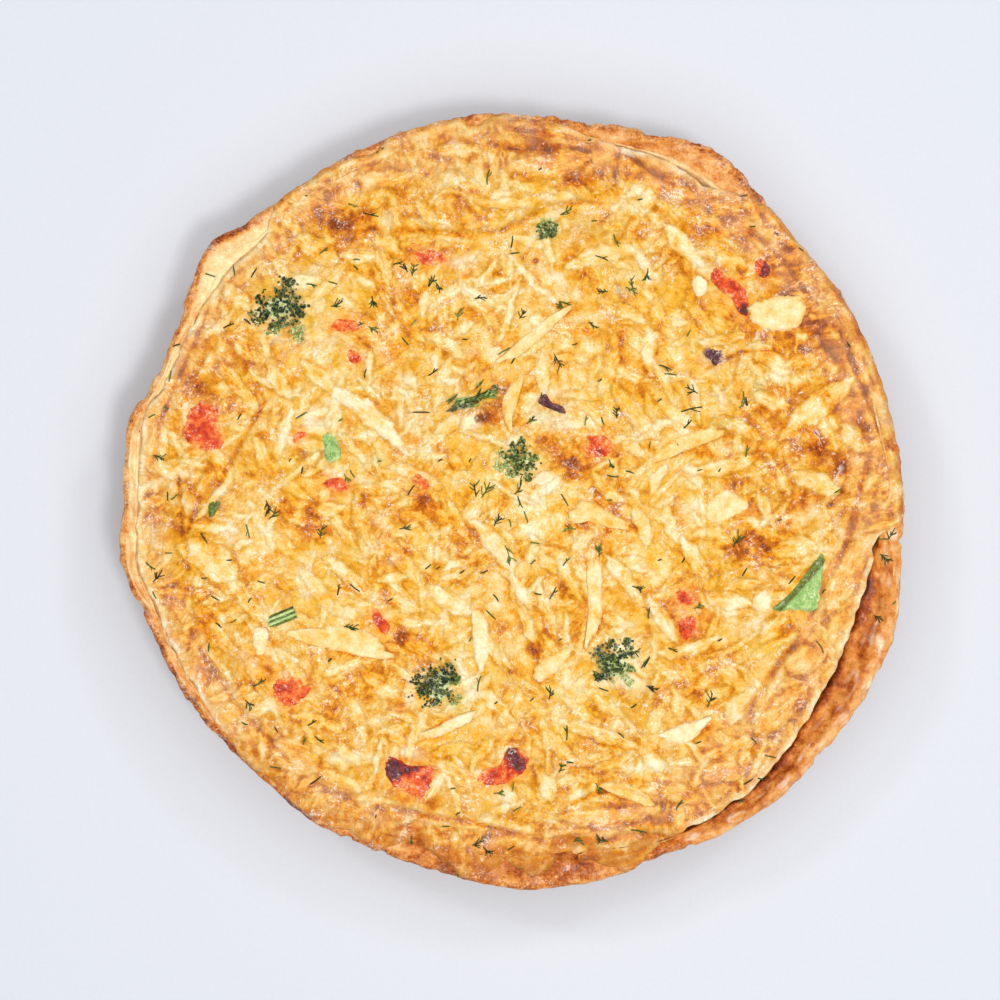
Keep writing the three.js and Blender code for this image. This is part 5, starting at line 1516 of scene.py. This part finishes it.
def build_broccoli(guide):
    """The florets: clusters of small buds on a low crown, paler on the side that is listed."""
    floret = piece_material("broccoli_buds", BUDS, 0.15, 0.45, grain_mm=0.8, coat=0.3, painted_glint=0.35)
    ball, ball_faces = icosphere()
    pieces = []
    for number, (name, (px, py, across, light_side, own_shade)) in enumerate(BROCCOLI_PX.items()):
        rng = np.random.default_rng(FLORET_SEED + number)
        cx, cy = at_pixel(px, py)
        radius = across * MM_PER_PIXEL / 2
        level = np.median(guide.height(cx + np.linspace(-radius, radius, 9), cy + np.zeros(9)))
        clusters = []
        for k in range(BUD_CLUSTERS):
            turn = 2.4 * k + rng.uniform(-0.3, 0.3)
            away = radius * 0.9 * math.sqrt(k / BUD_CLUSTERS) * rng.uniform(0.8, 1.1)
            reach = radius * rng.uniform(0.15, 0.34)
            clusters.append((away * math.cos(turn), away * math.sin(turn), reach))
        toward = math.radians(light_side)
        balls, shades = [], []
        for _ in range(int(BUDS_PER_MM * radius)):
            ox, oy, own = clusters[rng.integers(len(clusters))]
            across_x, across_y = rng.normal(0, 0.5 * own, 2)
            bx, by = ox + across_x, oy + across_y
            away = math.hypot(bx, by) / radius
            if away > 1.1:
                continue
            size = rng.uniform(0.27, 0.52)
            dome = max(1 - (across_x**2 + across_y**2) / own**2, 0)
            bz = level - 0.5 + max(1 - away**2, 0) + 0.8 * dome
            balls.append(ball * size * (1 + 0.12 * rng.normal(0, 1, 3)) + (cx + bx, cy + by, bz))
            lit = smoothstep(0.15, 0.8, (bx * math.cos(toward) + by * math.sin(toward)) / radius)
            shade = own_shade + rng.normal(0, 0.16) - 0.5 * lit - 0.12 * (1 - dome)
            shades.append(np.clip(shade, 0.15, 1))
        crown = ball * (0.86 * radius, 0.86 * radius, 0.4 * radius) + (cx, cy, level - 0.36 * radius)
        balls.append(crown + 0.3 * rng.normal(0, 1, crown.shape))
        shades.append(CROWN_TONE)
        faces = np.concatenate([ball_faces + k * len(ball) for k in range(len(balls))])
        tones = {"tone": np.repeat(shades, len(ball))}
        piece = make_mesh(name + "_piece", np.concatenate(balls), [faces], floret, tones)
        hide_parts(name)
        pieces.append(piece)
    return pieces


def build_dill(guide):
    """All sprigs of dill as one piece: single needles and small fans of needles."""
    herb = piece_material("dill", DILL, 0.05, 0.5, grain_mm=1.0, coat=0.1, scatter=0.0, painted_glint=0.0)
    rng = np.random.default_rng(DILL_SEED)
    paths, radii, tones = [], [], []
    t = np.linspace(0, 1, 6)

    def needle(x, y, heading, length, thick, tone):
        turn = heading + rng.normal(0, 0.35) * (t - 0.5)
        step = length / 5
        px = x + np.concatenate([[0], np.cumsum(step * np.cos(turn[1:]))])
        py = y + np.concatenate([[0], np.cumsum(step * np.sin(turn[1:]))])
        z = guide.height(px, py) + 0.1
        z = 0.5 * z + 0.5 * np.maximum(z, np.roll(z, 1))
        paths.append(np.stack([px, py, z], axis=1))
        radii.append(thick * (0.55 + 0.45 * np.sin(np.pi * np.clip(0.15 + 0.75 * t, 0, 1))))
        tones.append(tone)

    for px, py, direction, length in DILL_NEEDLES_PX:
        x, y = at_pixel(px, py)
        heading = math.radians(direction)
        size = length * MM_PER_PIXEL
        tone = np.clip(rng.normal(0.6, 0.16), 0.2, 0.95)
        sx, sy = x - size / 2 * math.cos(heading), y - size / 2 * math.sin(heading)
        needle(sx, sy, heading, size, 0.23, tone)
        if length > 9 and rng.random() < 0.5:
            needle(x, y, heading + rng.choice([-0.6, 0.6]), size * 0.4, 0.15, tone)
    for px, py, direction, length in DILL_FANS_PX:
        x, y = at_pixel(px, py)
        heading = math.radians(direction)
        size = 1.25 * length * MM_PER_PIXEL
        tone = np.clip(rng.normal(0.6, 0.14), 0.25, 0.9)
        sx, sy = x - 0.6 * size * math.cos(heading), y - 0.6 * size * math.sin(heading)
        needle(sx, sy, heading, 1.2 * size, 0.2, tone)
        for k in range(rng.integers(4, 8)):
            along = 1.2 * size * rng.uniform(0.1, 0.8)
            bx, by = sx + along * math.cos(heading), sy + along * math.sin(heading)
            spread = (1 if k % 2 else -1) * rng.uniform(0.35, 0.95)
            own_size = rng.uniform(0.4, 0.75) * size
            needle(bx, by, heading + spread, own_size, 0.16, np.clip(tone + rng.normal(0, 0.1), 0, 1))
    points, faces, shades = tube_mesh(paths, radii, tones, sides=4)
    piece = make_mesh("dill_sprigs", points, faces, herb, shades)
    return piece


def build_camera():
    """Straight down over the quiche, framed as in the photograph."""
    data = bpy.data.cameras.new("camera")
    data.lens = 85.0
    data.sensor_width = 36.0
    data.clip_start = 0.01
    data.clip_end = 20.0
    camera = bpy.data.objects.new("camera", data)
    distance = PHOTO_WIDTH_PX * MM_PER_PIXEL * data.lens / data.sensor_width
    x, y = at_pixel(PHOTO_WIDTH_PX / 2, PHOTO_WIDTH_PX / 2)
    camera.location = (x * MM, y * MM, (RIM_HEIGHT + distance) * MM)
    bpy.context.scene.collection.objects.link(camera)
    bpy.context.scene.camera = camera


def area_light(name, place, size, energy, colour=(1, 1, 1), glossy=True):
    """A round lamp at a place in metres, turned toward the quiche."""
    data = bpy.data.lights.new(name, "AREA")
    data.shape = "DISK"
    data.size = size
    data.energy = energy
    data.color = colour
    light = bpy.data.objects.new(name, data)
    light.location = place
    light.rotation_euler = (Vector((0, 0, 0.02)) - Vector(place)).to_track_quat("-Z", "Y").to_euler()
    light.visible_glossy = glossy
    bpy.context.scene.collection.objects.link(light)


def build_light():
    area_light("soft", (0.1, -0.1, 2.0), size=3.4, energy=51.0, colour=(0.98, 0.99, 1.0), glossy=False)
    area_light("key", (0.3, -0.28, 1.35), size=0.24, energy=6.3, colour=(1.0, 0.985, 0.965))
    area_light("second", (-0.7, 0.6, 1.15), size=0.22, energy=2.6)
    area_light("third", (0.65, 0.7, 1.1), size=0.22, energy=2.2)
    world = bpy.data.worlds.new("studio")
    world.use_nodes = True
    background = world.node_tree.nodes["Background"]
    background.inputs["Color"].default_value = (0.96, 0.98, 1.0, 1)
    background.inputs["Strength"].default_value = 0.12
    bpy.context.scene.world = world


def build_floor():
    s = Shader("studio_floor")
    colour = s.mix(s.noise(1.2, 3.0), (0.60, 0.62, 0.665, 1), (0.64, 0.66, 0.705, 1))
    s.finish(Base_Color=colour, Roughness=0.85, Normal=s.bump(s.noise(0.9, 3.0), 0.1, 0.5))
    half, below = 3000.0, -0.05
    corners = [(-half, -half, below), (half, -half, below), (half, half, below), (-half, half, below)]
    floor = make_mesh("studio_floor", corners, [np.array([[0, 1, 2, 3]])], s.material, smooth=False)


def main():
    scene = bpy.context.scene
    scene.view_settings.view_transform = "Standard"
    build_camera()
    build_light()
    build_floor()
    filling, filling_points = build_filling(skin_material())
    case, case_points = build_case(crust_material())
    upper_case = case_points[case_points[:, 2] > CUSTARD_HEIGHT - 3]
    guide = SurfaceGuide(np.concatenate([filling_points, upper_case]))
    green = piece_material("green_skin", GREEN_SKIN, 0.2, 0.32)
    pieces = [filling, case, build_dill(guide)]
    pieces += build_all_chunks(guide, green)
    pieces += [build_spring_onion(guide, green), build_leaf(guide, green)]
    pieces += build_broccoli(guide)
    for piece in pieces:
        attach(piece, "root")


main()
